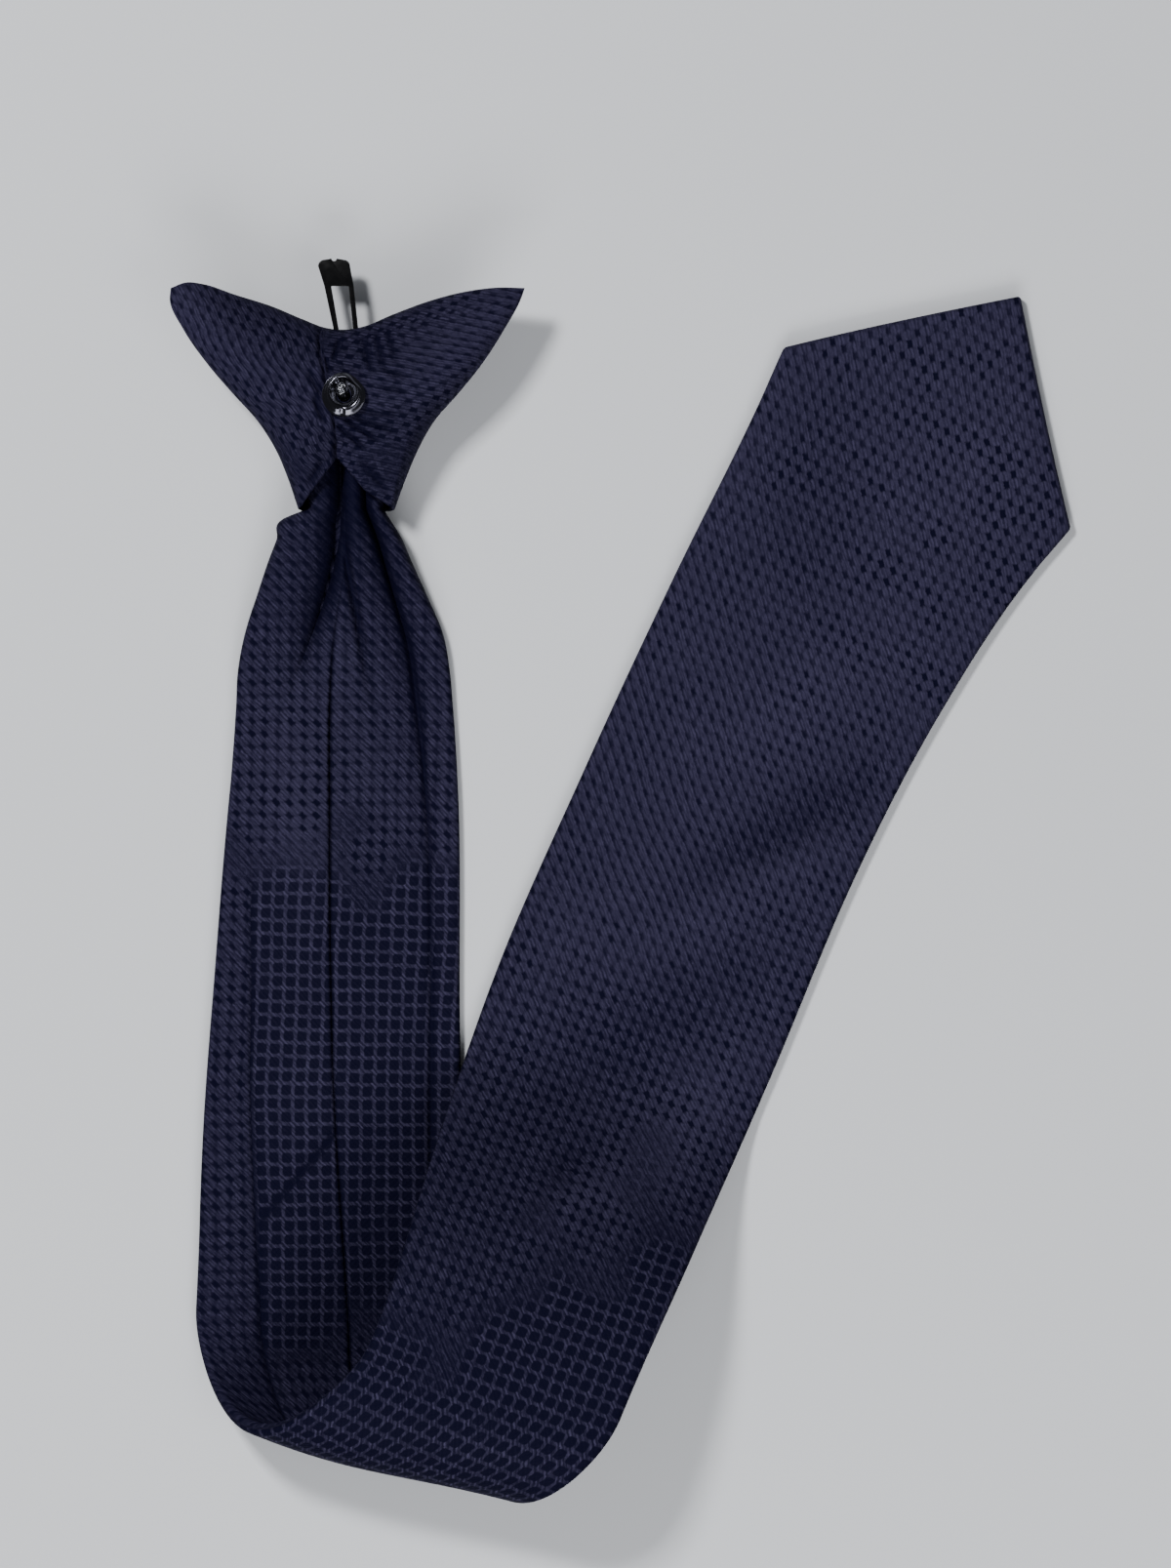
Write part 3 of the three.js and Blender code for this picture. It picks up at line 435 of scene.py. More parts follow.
def make_strip():
    """Rings round the strip, from the neck in the knot to the point: the back from left to right and the
    face from right to left, each at its half thickness from the middle surface along its upright."""
    v = np.append(spread([
        (-NECK_INSIDE, 0, 14), (0, GATHER_LENGTH, 62), (GATHER_LENGTH, FOLD_START - 8, 80),
        (FOLD_START - 8, FOLD_START + FOLD_CURL + 34, 118), (FOLD_START + FOLD_CURL + 34, CORNER_AT, 104),
        (CORNER_AT, STRIP_LENGTH, 52),
    ]), STRIP_LENGTH)
    band = even_turns(34)
    stops = [-1 + 0 * v, line(v, "left"), line(v, "seam"), line(v, "right"), 1 + 0 * v]
    back = np.concatenate([
        np.stack([mix(a, b, share) for share in band[:-1]], -1) for a, b in zip(stops[:-1], stops[1:])
    ], -1)
    back = np.concatenate([back, np.ones((len(v), 1))], -1)
    face_half = 1 - np.linspace(0, 1, 34) ** 1.6
    face = np.concatenate([face_half[1:], -face_half[::-1][1:-1]])
    u = np.concatenate([back, np.tile(face, (len(v), 1))], -1)
    v = np.tile(v[:, None], (1, u.shape[1]))
    side = np.where(np.arange(u.shape[1]) < back.shape[1], 1.0, -1.0)
    middle = fold_place(flat_place(v, u))
    middle[..., 2] += gather_height(v, u)
    swell = swells(v, u)
    seen = np.where(v < FOLD_START + FOLD_CURL / 2, side > 0, side < 0)
    lift = side * (half_thickness(v, u) + swell * seen) + np.where(side > 0, back_relief(v, u), 0)
    points = middle + lift[..., None] * strip_normal(v, u)
    rings, count = u.shape
    faces = ring_faces(rings, count)
    uv = np.stack([-side * u * half_width(v, u), v], -1)
    # Painted sheen along the strip, with painted light and shade on the swells and painted shade in the
    # back's folds and on the slanting seam
    gleam = through(PAINTED_SHEEN, v / STRIP_LENGTH, "gleam") + SWELL_PAINTED_SHEEN * swell - shadows(v, u) * (side > 0)
    piece = surface("strip_cloth", points, faces[:, ::-1], uv, catch=catch_light(side, v, u), gleam=gleam)
    close_ends(piece, rings, count)
    return piece


def close_ends(piece, rings, count):
    """Fills the first and the last ring with one face each."""
    shape = bmesh.new()
    shape.from_mesh(piece.data)
    shape.verts.ensure_lookup_table()
    layer = shape.loops.layers.uv.verify()
    for first in (0, (rings - 1) * count):
        cap = shape.faces.new([shape.verts[first + k] for k in range(count)])
        for loop in cap.loops:
            loop[layer].uv = (0, 0)
    bmesh.ops.triangulate(shape, faces=[f for f in shape.faces if len(f.verts) > 4])
    bmesh.ops.recalc_face_normals(shape, faces=shape.faces)
    shape.to_mesh(piece.data)
    shape.free()


# The knot's side edges, top edge, V and depth, as the solids have them
KNOT_SIDES = table(
    "up left right",
    (0, 0.271, 0.271), (0.14, 0.33, 0.335), (0.27, 0.4, 0.405), (0.4, 0.505, 0.5), (0.51, 0.63, 0.622),
    (0.64, 0.77, 0.755), (0.8, 0.91, 0.885), (0.93, 0.985, 0.975), (0.985, 0.98, 1),
)
KNOT_TOP = table(
    "across up",
    (-0.98, 0.985), (-0.9, 1.01), (-0.8, 1.004), (-0.63, 0.96), (-0.41, 0.905), (-0.24, 0.848),
    (-0.12, 0.812), (-0.02, 0.803), (0.1, 0.818), (0.25, 0.868), (0.46, 0.93), (0.68, 0.973),
    (0.85, 0.988), (1, 0.985),
)
KNOT_V = table(
    "s across rise", (0, -1, 0), (0.12, -0.86, 0.18), (0.44, -0.19, 1), (0.6, 0.38, 0.38), (0.86, 0.93, 0.06),
    (1, 1, 0),
)
KNOT_DEPTH = table(
    "up thick edge", (-0.2, 0.619, 0.3), (0, 0.619, 0.3), (0.25, 0.82, 0.36), (0.5, 1, 0.38),
    (0.75, 1.02, 0.36), (1, 0.98, 0.34),
)
# Creases of the knot's back, from one place to another in millimetres: half width, and share of DENT_DEPTH
KNOT_CREASES = table(
    "x1 y1 x2 y2 wide deep",
    (-1.2, 40.5, -3.4, 33, 0.6, 0.9), (3.6, 41.5, 6.6, 30.5, 0.7, 0.9), (6.4, 42.5, 9.4, 32, 0.7, 0.9),
    (9.4, 43.5, 12, 33.5, 0.8, 0.7), (-3.2, 20.5, 6, 12.5, 0.55, 0.9), (-1.6, 21.6, 9.6, 14.6, 0.6, 0.85),
    (1, 21.4, 13, 17.6, 0.65, 0.8), (3.4, 22.6, 14.6, 21.6, 0.7, 0.6), (-9, 33, -4.6, 24.6, 0.8, 0.6),
    (-7.6, 27, -4.6, 18.8, 0.7, 0.8), (-4.8, 36.4, -3.6, 30.8, 0.55, 0.6), (2.5, 11.4, 10.4, 4.2, 0.8, 0.7),
    (-4.6, 12, -9.6, 4.6, 0.8, 0.6), (7.5, 33, 15, 30.5, 0.7, 0.6), (6.6, 28.6, 15.6, 27.4, 0.7, 0.5),
)


def knot_seam(t):
    """Where the right lapel's edge runs, in shares of the width: straight from the opening to the top."""
    return mix(SEAM_LOW, SEAM_HIGH, np.clip(t, 0, 1))


def knot_plan(s, t, back):
    """The knot's plan: the patch between its four edges, each edge's share by how near it is, less the
    corners that are counted twice."""
    half, up = KNOT_WIDTH / 2, np.clip(t, 0, 1)
    rise = t * TOP_CORNER
    left = -half * through(KNOT_SIDES, rise, "left")
    right = half * through(KNOT_SIDES, rise, "right")
    across = mix(TOP_LEFT, 1, s)
    top_x, top_y = half * across, KNOT_HEIGHT * through(KNOT_TOP, across, "up")
    wide = OPENING_WIDTH / 2
    v_x = wide * np.interp(s, KNOT_V["s"], KNOT_V["across"])
    v_y = OPENING_RISE * np.interp(s, KNOT_V["s"], KNOT_V["rise"])
    low_x = np.where(back, v_x, wide * (2 * s - 1))
    low_y = np.where(back, v_y, 0)
    x = left * (1 - s) + right * s + low_x * (1 - up) + top_x * up
    y = rise * KNOT_HEIGHT + low_y * (1 - up) + top_y * up
    return x - wide * (2 * s - 1) * (1 - up) - half * across * up, y - KNOT_HEIGHT * TOP_CORNER * up


def fullness(s, t):
    """How full the padding is, from 0 on the outline to 1 in the middle: one arch across times one up."""
    return np.sqrt(np.maximum(0, 1 - np.abs(2 * s - 1) ** 3)) * np.sqrt(1 - np.clip(t, 0, 1) ** 3)


def knot_place(s, t, back, wall):
    """The knot's back or face, its wall's thickness in from the outside: the lifted wings' edge, and from it
    the padding up to the back, with the right lapel a step higher and a flat seat under the rivet."""
    x, y = knot_plan(s, t, back)
    up = np.clip(t, 0, 1)
    edge = KNOT_THICKNESS * through(KNOT_DEPTH, up, "edge")
    thick = KNOT_THICKNESS * through(KNOT_DEPTH, up, "thick")
    lift = WING_LIFT * smooth((np.abs(x) / (KNOT_WIDTH / 2) - 0.3) / 0.7)
    full = fullness(s, t)
    face = lift + edge * (1 - np.minimum(1, FACE_FLAT * full)) + wall
    seam = knot_seam(t)
    lap = np.where(s > seam, LAPEL_STEP * (1 - (s - seam) / (1 - seam)) * np.minimum(1, 2 * full), 0)
    high = lift + edge + (thick - edge) * full + lap
    away = np.hypot(x - RIVET_AT[0], y - RIVET_AT[1]) / RIVET_RADIUS
    high = mix(high, SEAT_HEIGHT, 1 - smooth((away - SEAT_FLAT) / (SEAT_BLEND - SEAT_FLAT)))
    return np.stack([x, y, np.where(back, high - wall, face)], -1)


def knot_creases(x, y):
    """Grooves along short lines, a bell curve across each, fading at both ends."""
    total = 0
    for x1, y1, x2, y2, wide, deep in zip(*KNOT_CREASES.values()):
        length = np.hypot(x2 - x1, y2 - y1)
        along = ((x - x1) * (x2 - x1) + (y - y1) * (y2 - y1)) / length**2
        away = ((x - x1) * (y2 - y1) - (y - y1) * (x2 - x1)) / length
        total = total + deep * bell(away, wide) * smooth(along / 0.25) * smooth((1 - along) / 0.35)
    return total


KNOT_STRETCH = np.array([0.98, 1.32])  # the cloth is pulled round the padding, so its cells look shorter
KNOT_SLANT = np.radians(26)  # how the cloth's threads turn outwards on each lapel


def make_knot():
    """Rings from the wings' top down to the opening, over its lip, and up again inside as the lining wall."""
    down = 1 - np.linspace(0, 1, 150) ** 1.25
    inside = np.linspace(0, LINING_UP, 40)
    left, right = even_turns(70), even_turns(80)

    def ring(t, wall, inset):
        """The back from left to right and the face from right to left, and each point's share across."""
        seam = knot_seam(t)
        s = np.concatenate([left * (seam - SEAM_GAP), mix(seam + SEAM_GAP, 1, right)])
        s = mix(inset, 1 - inset, s)
        back = knot_place(s, np.full_like(s, t), True, wall)
        face = knot_place(s, np.full_like(s, t), False, wall)
        if wall == 0:
            depth, wide = SEAM_GROOVE
            away = (s - seam) * np.interp(t, [0, 1], [OPENING_WIDTH, KNOT_WIDTH])
            dents = DENT_DEPTH * knot_creases(back[:, 0], back[:, 1])
            dents = dents + np.where(away < 0, depth * bell(away, wide), 0)
            back[:, 2] -= dents * np.minimum(1, 2 * fullness(s, t))
        else:
            face[:, 2] = np.minimum(face[:, 2], back[:, 2] - 0.8)
        return np.concatenate([back, face[::-1]]), np.concatenate([s, s[::-1]])

    rings, shares = zip(*[ring(t, 0, 0) for t in down])
    lip = 0.5 * (rings[-1] + ring(0, COVER_WALL, COVER_WALL / OPENING_WIDTH)[0]) - [0, 0.5, 0]
    hollow = [ring(t, COVER_WALL, COVER_WALL / mix(OPENING_WIDTH, KNOT_WIDTH, t)) for t in inside]
    points = np.stack([*rings, lip, *[r for r, _ in hollow]])
    shares = np.stack([*shares, shares[-1], *[q for _, q in hollow]])
    count = points.shape[1]
    half_ring = count // 2

    # The place on the cloth: how far round from the seam, and up, turned by the lapel's slant
    steps = np.linalg.norm(np.diff(points, axis=1), axis=-1)
    length = np.concatenate([np.zeros((len(points), 1)), np.cumsum(steps, axis=1)], 1)
    across = np.where(np.arange(count) < half_ring, length, 2 * length[:, [half_ring]] - length)
    across = across - length[:, [len(left)]]
    along = points[..., 1]
    turn = np.where(shares < SEAM_LOW, KNOT_SLANT, -KNOT_SLANT)
    c, s = np.cos(turn), np.sin(turn)
    uv = np.stack([across * c - along * s, across * s + along * c], -1) * KNOT_STRETCH

    # Painted light and shade: sheen painted brighter towards the wings' ends and along a ridge across each
    # wing, where the weave is also painted as catching the light, and painted shade in the creases
    out = np.abs(points[..., 0]) / (KNOT_WIDTH / 2)
    ridge = bell(points[..., 1] / KNOT_HEIGHT - mix(0.45, 0.9, out), 0.16)
    creases = knot_creases(points[..., 0], points[..., 1])
    catch = mix(0.34, 0.92, ridge)
    gleam = mix(0.52, 0.66, smooth(out)) + 0.08 * ridge - 0.75 * creases

    last = (len(points) - 1) * count + np.arange(half_ring - 1)
    other = len(points) * count - 1 - np.arange(half_ring - 1)
    cap = np.stack([last, last + 1, other - 1, other], -1)
    faces = np.concatenate([ring_faces(len(points), count), cap])
    return surface("knot_cloth", points, faces, uv, merge=0.01, catch=catch, gleam=gleam)


# The rivet: a domed ring round an off-centre hollow, and a pin with a burred end in it
HOLLOW_ASIDE = 0.75  # the hollow sits towards the knot's top
AROUND = np.linspace(0, 2 * np.pi, 96, endpoint=False)


def hammered(radius):
    """How far the rim's rings are out of round and out of level, as sums of bell curves of the angle: a nick
    low in the middle, a slight peak at the top and a flatter right shoulder, all strongest near the edge."""
    nick = bell(AROUND - 1.47 * np.pi, 0.16)
    peak = bell(AROUND - 0.55 * np.pi, 0.5)
    shoulder = bell(AROUND - 0.25 * np.pi, 0.5)
    near = bell(radius - RIVET_RADIUS + 0.8)
    return (0.45 * peak - 0.25 * nick - 0.55 * shoulder) * near, -0.3 * nick * near


def make_rivet_cap():
    """Rings about the rivet's axis: a rim whose height is the sine of a power of its share of the way in, so
    that it rises gently and falls steeply, and inside it a flat floor and a bore."""
    bore = SHANK_RADIUS + CLEARANCE
    floor = 0.1 * RIVET_RISE
    share = even_turns(40)
    crest = RIVET_RISE * (0.6 + 0.4 * np.sin(np.pi * share**1.5))
    rows = table(
        "radius height aside",
        (bore, 0, 0), (RIVET_RADIUS - 0.2, 0, 0), (RIVET_RADIUS, 0.15, 0),
        *zip(mix(RIVET_RADIUS, RIVET_HOLLOW, share), crest, share),
        (bore + 0.3, floor, 0.2), (bore, floor - 0.05, 0), (bore, 0, 0),
    )
    radius, height, aside = (column[:, None] for column in rows.values())
    out, up = hammered(radius)
    points = np.stack([
        RIVET_AT[0] + (radius + out) * np.cos(AROUND),
        RIVET_AT[1] + (radius + out) * np.sin(AROUND) + aside * HOLLOW_ASIDE,
        SEAT_HEIGHT + CLEARANCE + height + up,
    ], -1)
    return surface("rivet_ring", points, ring_faces(len(points), len(AROUND)), merge=0.005)


BURR_ASIDE = np.array([-0.6, 1.6])  # the torn end is bent towards the knot's top
BURR_REACH = np.array([1.3, 1.7])


def make_burr():
    """The pin's torn end: a round stem, then rings about a point to one side of it, whose height is a dome
    with a sum of sharp ridges across it."""
    share = np.linspace(0, 1, 30)[:, None]
    floor = SEAT_HEIGHT + CLEARANCE + 0.2 * RIVET_RISE
    round_x, round_y = np.cos(AROUND), np.sin(AROUND)
    x = (1 - share) * BURR_REACH[0] * round_x
    y = (1 - share) * BURR_REACH[1] * round_y
    ridges = np.abs(np.sin(2.6 * x + 1.2 * y + 0.7)) + 0.7 * np.abs(np.sin(1.9 * x - 3.1 * y))
    ridges = ridges + 0.4 * np.abs(np.sin(5 * x + 4 * y))
    dome = np.sqrt(1 - (1 - share) ** 2)
    end = np.stack([x + BURR_ASIDE[0], y + BURR_ASIDE[1], floor + dome * (0.7 + 0.4 * ridges + 0.2 * y)], -1)
    stem = [
        np.stack([SHANK_RADIUS * round_x, SHANK_RADIUS * round_y, np.full(len(AROUND), z)], -1)
        for z in (CLIP_BOTTOM - 0.4, floor - 0.5)
    ]
    points = np.concatenate([stem, end]) + [*RIVET_AT, 0]
    return surface("rivet_pin", points, ring_faces(len(points), len(AROUND)), merge=0.005)


def rounded_copy(name, node, wide):
    """A node's loose triangles merged into one shell, with its edges rounded off by a bevel."""
    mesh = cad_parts[node].data.copy()
    shape = bmesh.new()
    shape.from_mesh(mesh)
    bmesh.ops.remove_doubles(shape, verts=shape.verts, dist=0.001 * MM)
    bmesh.ops.dissolve_limit(shape, angle_limit=np.radians(1), verts=shape.verts, edges=shape.edges)
    shape.to_mesh(mesh)
    shape.free()
    mesh.name = name
    mesh.materials.clear()
    piece = bpy.data.objects.new(name, mesh)
    bpy.context.scene.collection.objects.link(piece)
    edges = piece.modifiers.new("edges", "BEVEL")
    edges.width = wide * MM
    edges.segments = 3
    edges.limit_method = "ANGLE"
    edges.harden_normals = True
    mesh.polygons.foreach_set("use_smooth", np.ones(len(mesh.polygons), bool))
    return piece


strip = make_strip()
knot = make_knot()
ring = make_rivet_cap()
pin = make_burr()
spring = rounded_copy("clip_spring", "clip", 0.16)


# Materials
def linear(code):
    """An sRGB hex colour as linear red, green and blue."""
    c = np.array([int(code[i:i + 2], 16) for i in (1, 3, 5)]) / 255
    return (*np.where(c <= 0.04045, c / 12.92, ((c + 0.055) / 1.055) ** 2.4), 1)


def add(tree, kind, *values, inputs={}, output=0, **settings):
    """One node with its settings. Its inputs, in order or by name, are numbers, colours or other nodes'
    outputs. Gives one of its outputs."""
    node = tree.nodes.new(kind)
    for key, value in settings.items():
        setattr(node, key, value)
    for key, value in [*enumerate(values), *inputs.items()]:
        if isinstance(value, bpy.types.NodeSocket):
            tree.links.new(value, node.inputs[key])
        else:
            node.inputs[key].default_value = value
    return node.outputs[output]


def start(name):
    """A new material and its bare node tree."""
    material = bpy.data.materials.new(name)
    material.use_nodes = True
    material.node_tree.nodes.clear()
    return material, material.node_tree


def end(tree, shader):
    """Gives the tree's surface its shader."""
    tree.links.new(shader, tree.nodes.new("ShaderNodeOutputMaterial").inputs["Surface"])


# Polyester jacquard woven as small checked satin cells and cut on the bias. The cells' floats run on one
# slant and the net's on the other, so each catches the light at its own angle: dark squares in a light net
# in one place, light ribbed squares with a dark tick between them in another, and slanting ribs in a third.
CELL_ACROSS = 3.1
CELL_ALONG = 3.15
RIBS = 2  # to each cell across their slant; the real threads are about five times as fine and wouldn't show
FLOATS = "#333042"
DEPTHS = "#090919"
SATIN = 0.006  # far less than the usual reflection, because the threads shade each other
# Where each tick's painted highlight lies beside it, across the slant in cells
BESIDE_TICK = 0.36
MATH, VECTOR = "ShaderNodeMath", "ShaderNodeVectorMath"
RANGE, NOISE = "ShaderNodeMapRange", "ShaderNodeTexNoise"
SOFT = {"interpolation_type": "SMOOTHSTEP"}


def jacquard():
    """The cloth of the strip and the knot, from the piece's own map of the cloth and its two shares."""
    material, tree = start("polyester_jacquard")
    put = partial(add, tree)
    catch = put("ShaderNodeAttribute", output="Fac", attribute_name="catch")
    gleam = put("ShaderNodeAttribute", output="Fac", attribute_name="gleam")

    # The place on the cloth in cells, drifting a little because no cloth lies quite straight
    uv = put("ShaderNodeUVMap", uv_map="cloth")
    at = put(VECTOR, uv, inputs={"Scale": 1 / MM}, operation="SCALE")
    sway = put(NOISE, at, inputs={"Scale": 0.035, "Detail": 1}, output=1, noise_dimensions="2D")
    sway = put(VECTOR, sway, (0.5, 0.5, 0.5), operation="SUBTRACT")
    at = put(VECTOR, sway, (1.6, 1.6, 0), at, operation="MULTIPLY_ADD")
    grid = put(VECTOR, at, (1 / CELL_ACROSS, 1 / CELL_ALONG, 0), operation="MULTIPLY")
    x = put("ShaderNodeSeparateXYZ", grid, output="X")
    y = put("ShaderNodeSeparateXYZ", grid, output="Y")
    slant = put(MATH, x, y, operation="ADD")
    other = put(MATH, x, y, operation="SUBTRACT")

    # Soft patches, uneven threads, and strokes drawn out along the floats
    patch = put(NOISE, at, inputs={"Scale": 0.05, "Detail": 1}, noise_dimensions="2D")
    catch = put(MATH, catch, put(RANGE, patch, 0.3, 0.7, -0.12, 0.12), operation="ADD")
    blotch = put(NOISE, at, inputs={"Scale": 0.11, "Detail": 2}, noise_dimensions="2D")
    uneven = put(NOISE, at, inputs={"Scale": 1.3, "Detail": 2}, noise_dimensions="2D")
    uneven = put(RANGE, uneven, 0.25, 0.75, -1, 1)
    drawn = put(VECTOR, put("ShaderNodeCombineXYZ", slant, other), (5.5, 0.9, 1), operation="MULTIPLY")
    strokes = put(NOISE, drawn, inputs={"Scale": 1, "Detail": 3}, noise_dimensions="2D")

    # The ribs of the net's floats with a finer set between them, and the ribs of the cells on the other slant
    turn = 2 * np.pi * RIBS
    wide_rib = put(MATH, put(MATH, slant, turn, uneven, operation="MULTIPLY_ADD"), operation="SINE")
    fine_rib = put(MATH, put(MATH, slant, 1.5 * turn, uneven, operation="MULTIPLY_ADD"), operation="SINE")
    net_rib = put("ShaderNodeMix", inputs={"Factor": 0.45, "A": wide_rib, "B": fine_rib})
    cell_rib = put(MATH, put(MATH, other, turn, uneven, operation="MULTIPLY_ADD"), operation="SINE")

    # The cell: a square with rounded corners, its edge stepped by the threads
    a = put(MATH, put(MATH, put(MATH, x, operation="FRACT"), 0.5, operation="SUBTRACT"), operation="ABSOLUTE")
    b = put(MATH, put(MATH, put(MATH, y, operation="FRACT"), 0.5, operation="SUBTRACT"), operation="ABSOLUTE")
    size = put(MATH, put(MATH, a, 4, operation="POWER"), put(MATH, b, 4, operation="POWER"), operation="ADD")
    size = put(MATH, size, 1 / 4, operation="POWER")
    size = put(MATH, uneven, 0.03, size, operation="MULTIPLY_ADD")
    cell = put(RANGE, size, 0.42, 0.32, 0, 1, **SOFT)

    # The tick: a slanting bar over each crossing of the net, with a painted highlight on the rib to the right
    # of it
    a = put(MATH, put(MATH, put(MATH, x, 0.5, operation="ADD"), operation="FRACT"), 0.5, operation="SUBTRACT")
    b = put(MATH, put(MATH, put(MATH, y, 0.5, operation="ADD"), operation="FRACT"), 0.5, operation="SUBTRACT")
    across = put(MATH, uneven, 0.06, put(MATH, a, b, operation="ADD"), operation="MULTIPLY_ADD")
    along = put(MATH, uneven, 0.05, put(MATH, a, b, operation="SUBTRACT"), operation="MULTIPLY_ADD")
    along = put(MATH, along, operation="ABSOLUTE")
    wide = put(RANGE, catch, 0.3, 1, 0.34, 0.24)
    near = put(MATH, put(MATH, across, operation="ABSOLUTE"), wide, operation="DIVIDE")
    far = put(MATH, along, put(RANGE, catch, 0.3, 1, 0.5, 0.62), operation="DIVIDE")
    tick = put(RANGE, put(MATH, near, far, operation="MAXIMUM"), 1.15, 0.6, 0, 1, **SOFT)
    beside = put(MATH, put(MATH, across, BESIDE_TICK, operation="SUBTRACT"), operation="ABSOLUTE")
    painted_highlight = put(RANGE, beside, 0.16, 0.04, 0, 0.35, **SOFT)
    ends = put(RANGE, put(MATH, beside, 0.25, far, operation="MULTIPLY_ADD"), 1.1, 0.5, 0, 1, **SOFT)
    painted_highlight = put(MATH, painted_highlight, ends, operation="MULTIPLY")

    # How light each place is, from the net's look at a catch of 0 to the tick's
    net_look = put(MATH, cell, -0.8, 0.92, operation="MULTIPLY_ADD")
    # Painted shade: a darker rim round each cell's edge in the tick's look
    painted_edge_shade = put(RANGE, size, 0.37, 0.46, 0, -0.2, **SOFT)
    blotch = put(RANGE, blotch, 0.35, 0.65, 0.62, 1.1)
    depth = put(MATH, put(RANGE, catch, 0.4, 1, -0.82, -0.16), blotch, operation="MULTIPLY")
    tick_look = put(MATH, tick, depth, put(MATH, painted_edge_shade, 0.82, operation="ADD"), operation="MULTIPLY_ADD")
    tick_look = put(MATH, tick_look, painted_highlight, operation="ADD")
    band = put(MATH, put(MATH, uneven, 0.05, slant, operation="MULTIPLY_ADD"), 0.5, operation="PINGPONG")
    band = put(RANGE, band, 0.28, 0.08, 0, 1, **SOFT)
    tick_look = put(MATH, band, put(RANGE, catch, 0.6, 1, 0, -0.42), tick_look, operation="MULTIPLY_ADD")
    light = put("ShaderNodeMix", put(RANGE, catch, 0.22, 0.4), inputs={"A": net_look, "B": tick_look})

    # Painted sheen: where little is painted the floats are all the harder against the dark and the cloth
    # darker. The ribs are raised by the bump below, and their crests are also painted lighter
    strokes = put(RANGE, strokes, 0.3, 0.7, 0.55, 1.35)
    shade = put(MATH, put(RANGE, net_rib, -0.8, 0.8, 0.5, 1.4), strokes, operation="MULTIPLY")
    shade = put(MATH, shade, light, operation="MULTIPLY")
    shade = put(MATH, shade, put(RANGE, gleam, 0.4, 0.76, 1.8, 0.8), operation="POWER")
    shade = put(MATH, shade, put(RANGE, gleam, 0, 1, 0.06, 0.76), operation="MULTIPLY")
    colour = put(VECTOR, linear(FLOATS)[:3], inputs={"Scale": shade}, operation="SCALE")
    colour = put(VECTOR, colour, linear(DEPTHS)[:3], operation="ADD")
    rib = put("ShaderNodeMix", cell, inputs={"A": net_rib, "B": cell_rib})
    height = put(MATH, rib, 0.3, light, operation="MULTIPLY_ADD")
    bump = put("ShaderNodeBump", inputs={"Height": height, "Strength": 0.6, "Distance": 0.12 * MM})
    end(tree, put("ShaderNodeBsdfPrincipled", inputs={
        "Base Color": colour, "Roughness": 0.5, "IOR": 1.5, "Normal": bump, "Specular IOR Level": SATIN,
    }))
    return material


# Stamped spring steel under black lacquer: a hard coat with sharp reflections and a few fine scuffs
def lacquered_steel():
    """The clip's lacquer, rougher where the scuffs are."""
    material, tree = start("black_lacquer_on_steel")
    put = partial(add, tree)
    scuff = put(NOISE, put("ShaderNodeTexCoord", output="Object"), inputs={"Scale": 500, "Detail": 3})
    scuff = put(RANGE, scuff, 0.35, 0.7, 0.22, 0.32)
    end(tree, put("ShaderNodeBsdfPrincipled", inputs={
        "Base Color": linear("#060607"), "Roughness": scuff, "Specular IOR Level": 0.15,
    }))
    return material


def metal(name, colour, smoothest, roughest):
    """Bare or plated metal whose shine changes a little with its grain."""
    material, tree = start(name)
    put = partial(add, tree)
    grain = put(NOISE, put("ShaderNodeTexCoord", output="Object"), inputs={"Scale": 1400, "Detail": 3})
    grain = put(RANGE, grain, 0.3, 0.7, smoothest, roughest)
    end(tree, put("ShaderNodeBsdfPrincipled", inputs={
        "Base Color": linear(colour), "Metallic": 1, "Roughness": grain,
    }))
    return material


cloth = jacquard()
lacquer = lacquered_steel()
# Black nickel on brass, polished: dark mirror reflections with a cool cast
nickel = metal("black_nickel", "#404047", 0.12, 0.2)
# Zinc-plated steel, torn when the rivet was set: small bright facets
torn = metal("torn_zinc_plated_steel", "#8a8b91", 0.15, 0.25)
for piece in (strip, knot):
    piece.data.materials.append(cloth)
ring.data.materials.append(nickel)
pin.data.materials.append(torn)
spring.data.materials.append(lacquer)

DRESSED = (
    (strip, "tie_strip", "tie_cloth"), (knot, "knot_cover", "tie_cloth"),
    (spring, "clip", "clip_lacquer"), (ring, "rivet_cap", "rivet_black"), (pin, "rivet_shank", "rivet_black"),
)
for piece, node, finish in DRESSED:
    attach(piece, "root")
    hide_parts(node)

flat_v = np.linspace(-NECK_INSIDE, STRIP_LENGTH, 400)
flat_area = np.trapz(half_width(flat_v, -1) + half_width(flat_v, 1), flat_v) * MM**2

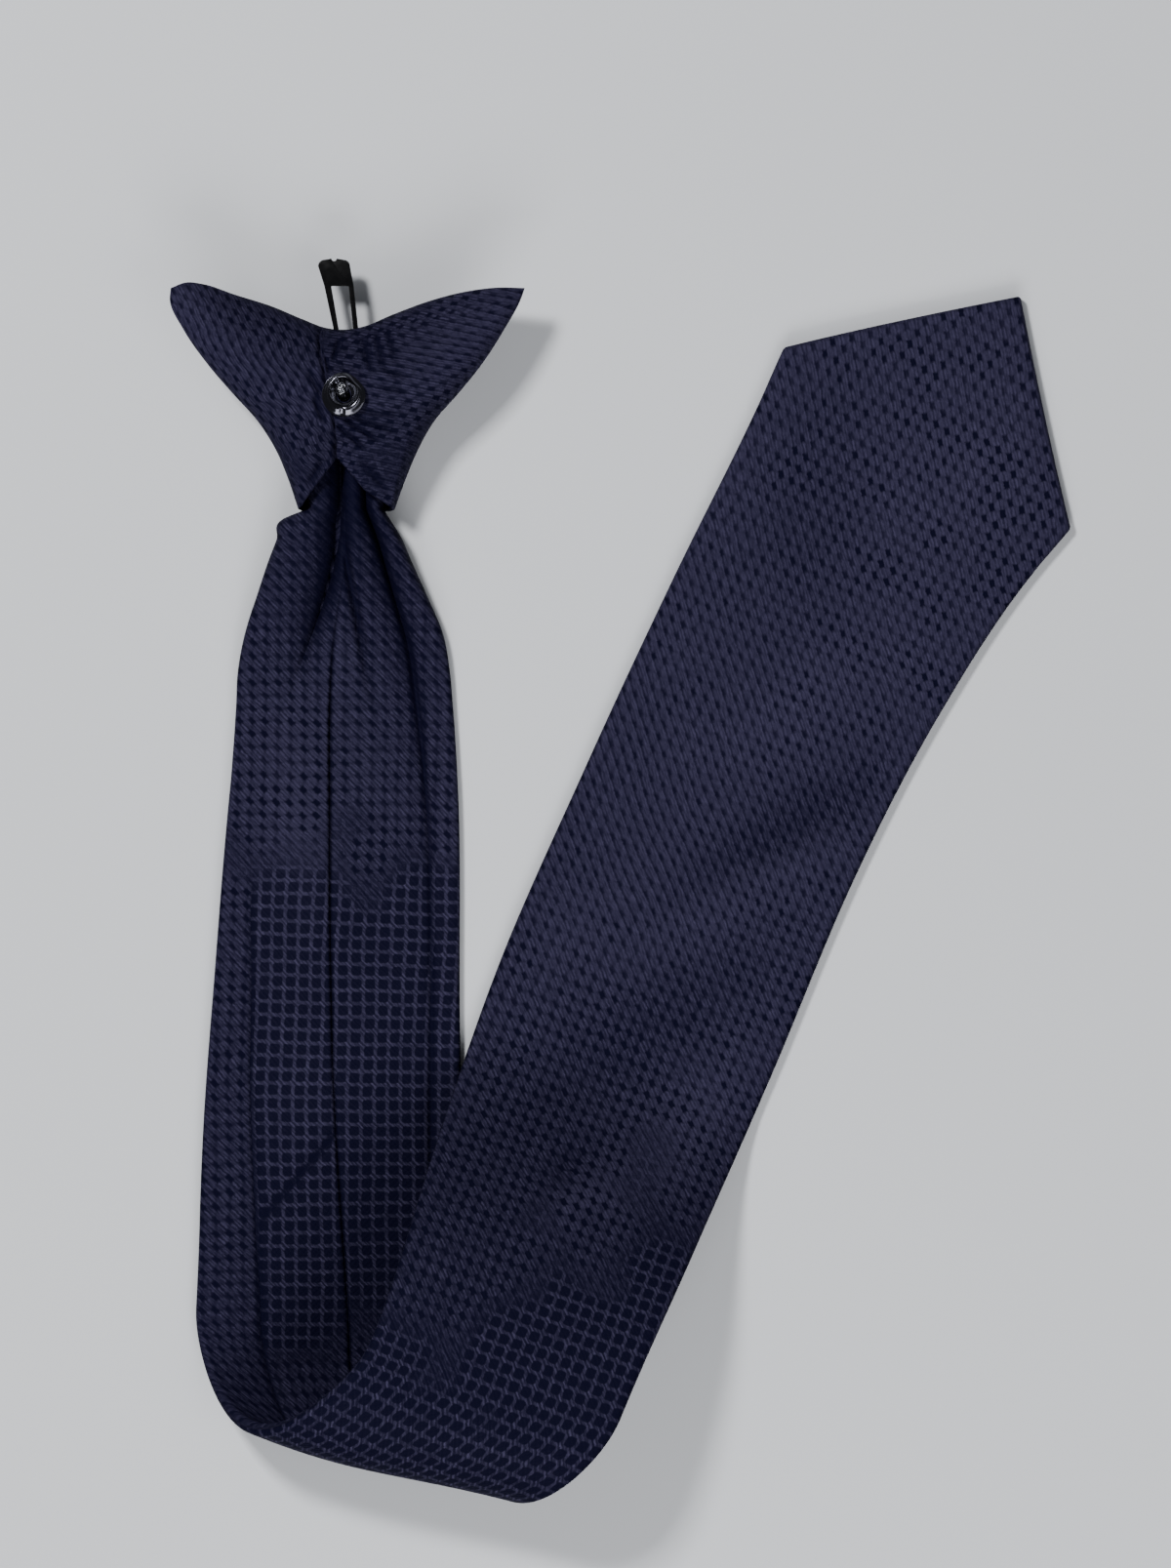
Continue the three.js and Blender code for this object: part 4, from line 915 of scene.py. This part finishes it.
# The camera looks straight down at the photograph's frame, from far enough to be nearly without perspective
PIXEL = 0.23
FRAME_PX = (1200, 1607)
OPENING_PX = (355.5, 522)
CAMERA_UP = 4000
x = (FRAME_PX[0] / 2 - OPENING_PX[0]) * PIXEL
y = (OPENING_PX[1] - FRAME_PX[1] / 2) * PIXEL
optics = bpy.data.cameras.new("camera")
optics.sensor_fit = "VERTICAL"
optics.sensor_height = 24
optics.lens = optics.sensor_height * CAMERA_UP / (FRAME_PX[1] * PIXEL)
camera = bpy.data.objects.new("camera", optics)
camera.location = place((x, y, CAMERA_UP))
bpy.context.scene.collection.objects.link(camera)
bpy.context.scene.camera = camera

# A soft key from the upper left, weaker fills from the lower right and the picture's foot, and a studio sky
LIGHTS = table(
    "x y z wide high power",
    (-560, 600, 1150, 240, 240, 28), (700, -600, 900, 700, 700, 4), (20, -1000, 640, 900, 440, 14),
)
LIT = (20, -60, 0)
for i, (x, y, z, wide, high, power) in enumerate(zip(*LIGHTS.values())):
    lamp = bpy.data.lights.new(f"softbox_{i}", "AREA")
    lamp.shape = "RECTANGLE"
    lamp.size, lamp.size_y = wide * MM, high * MM
    lamp.energy = power
    light = bpy.data.objects.new(lamp.name, lamp)
    light.location = place((x, y, z))
    light.rotation_euler = Vector(place(LIT) - place((x, y, z))).to_track_quat("-Z", "Y").to_euler()
    bpy.context.scene.collection.objects.link(light)
world = bpy.data.worlds.new("studio")
world.use_nodes = True
world.node_tree.nodes["Background"].inputs["Color"].default_value = linear("#dfe2e8")
world.node_tree.nodes["Background"].inputs["Strength"].default_value = 0.22
bpy.context.scene.world = world

FLOOR_AT = -0.25  # just under the lowest thread
FLOOR_HALF = 1500
corners = FLOOR_HALF * np.array([[-1, -1, 0], [1, -1, 0], [1, 1, 0], [-1, 1, 0]]) + [0, 0, FLOOR_AT]
floor = surface("floor", corners, np.array([[0, 1, 2, 3]]))
paper, tree = start("floor_paper")
end(tree, add(tree, "ShaderNodeBsdfPrincipled", inputs={"Base Color": linear("#b9bbbf"), "Roughness": 0.9}))
floor.data.materials.append(paper)
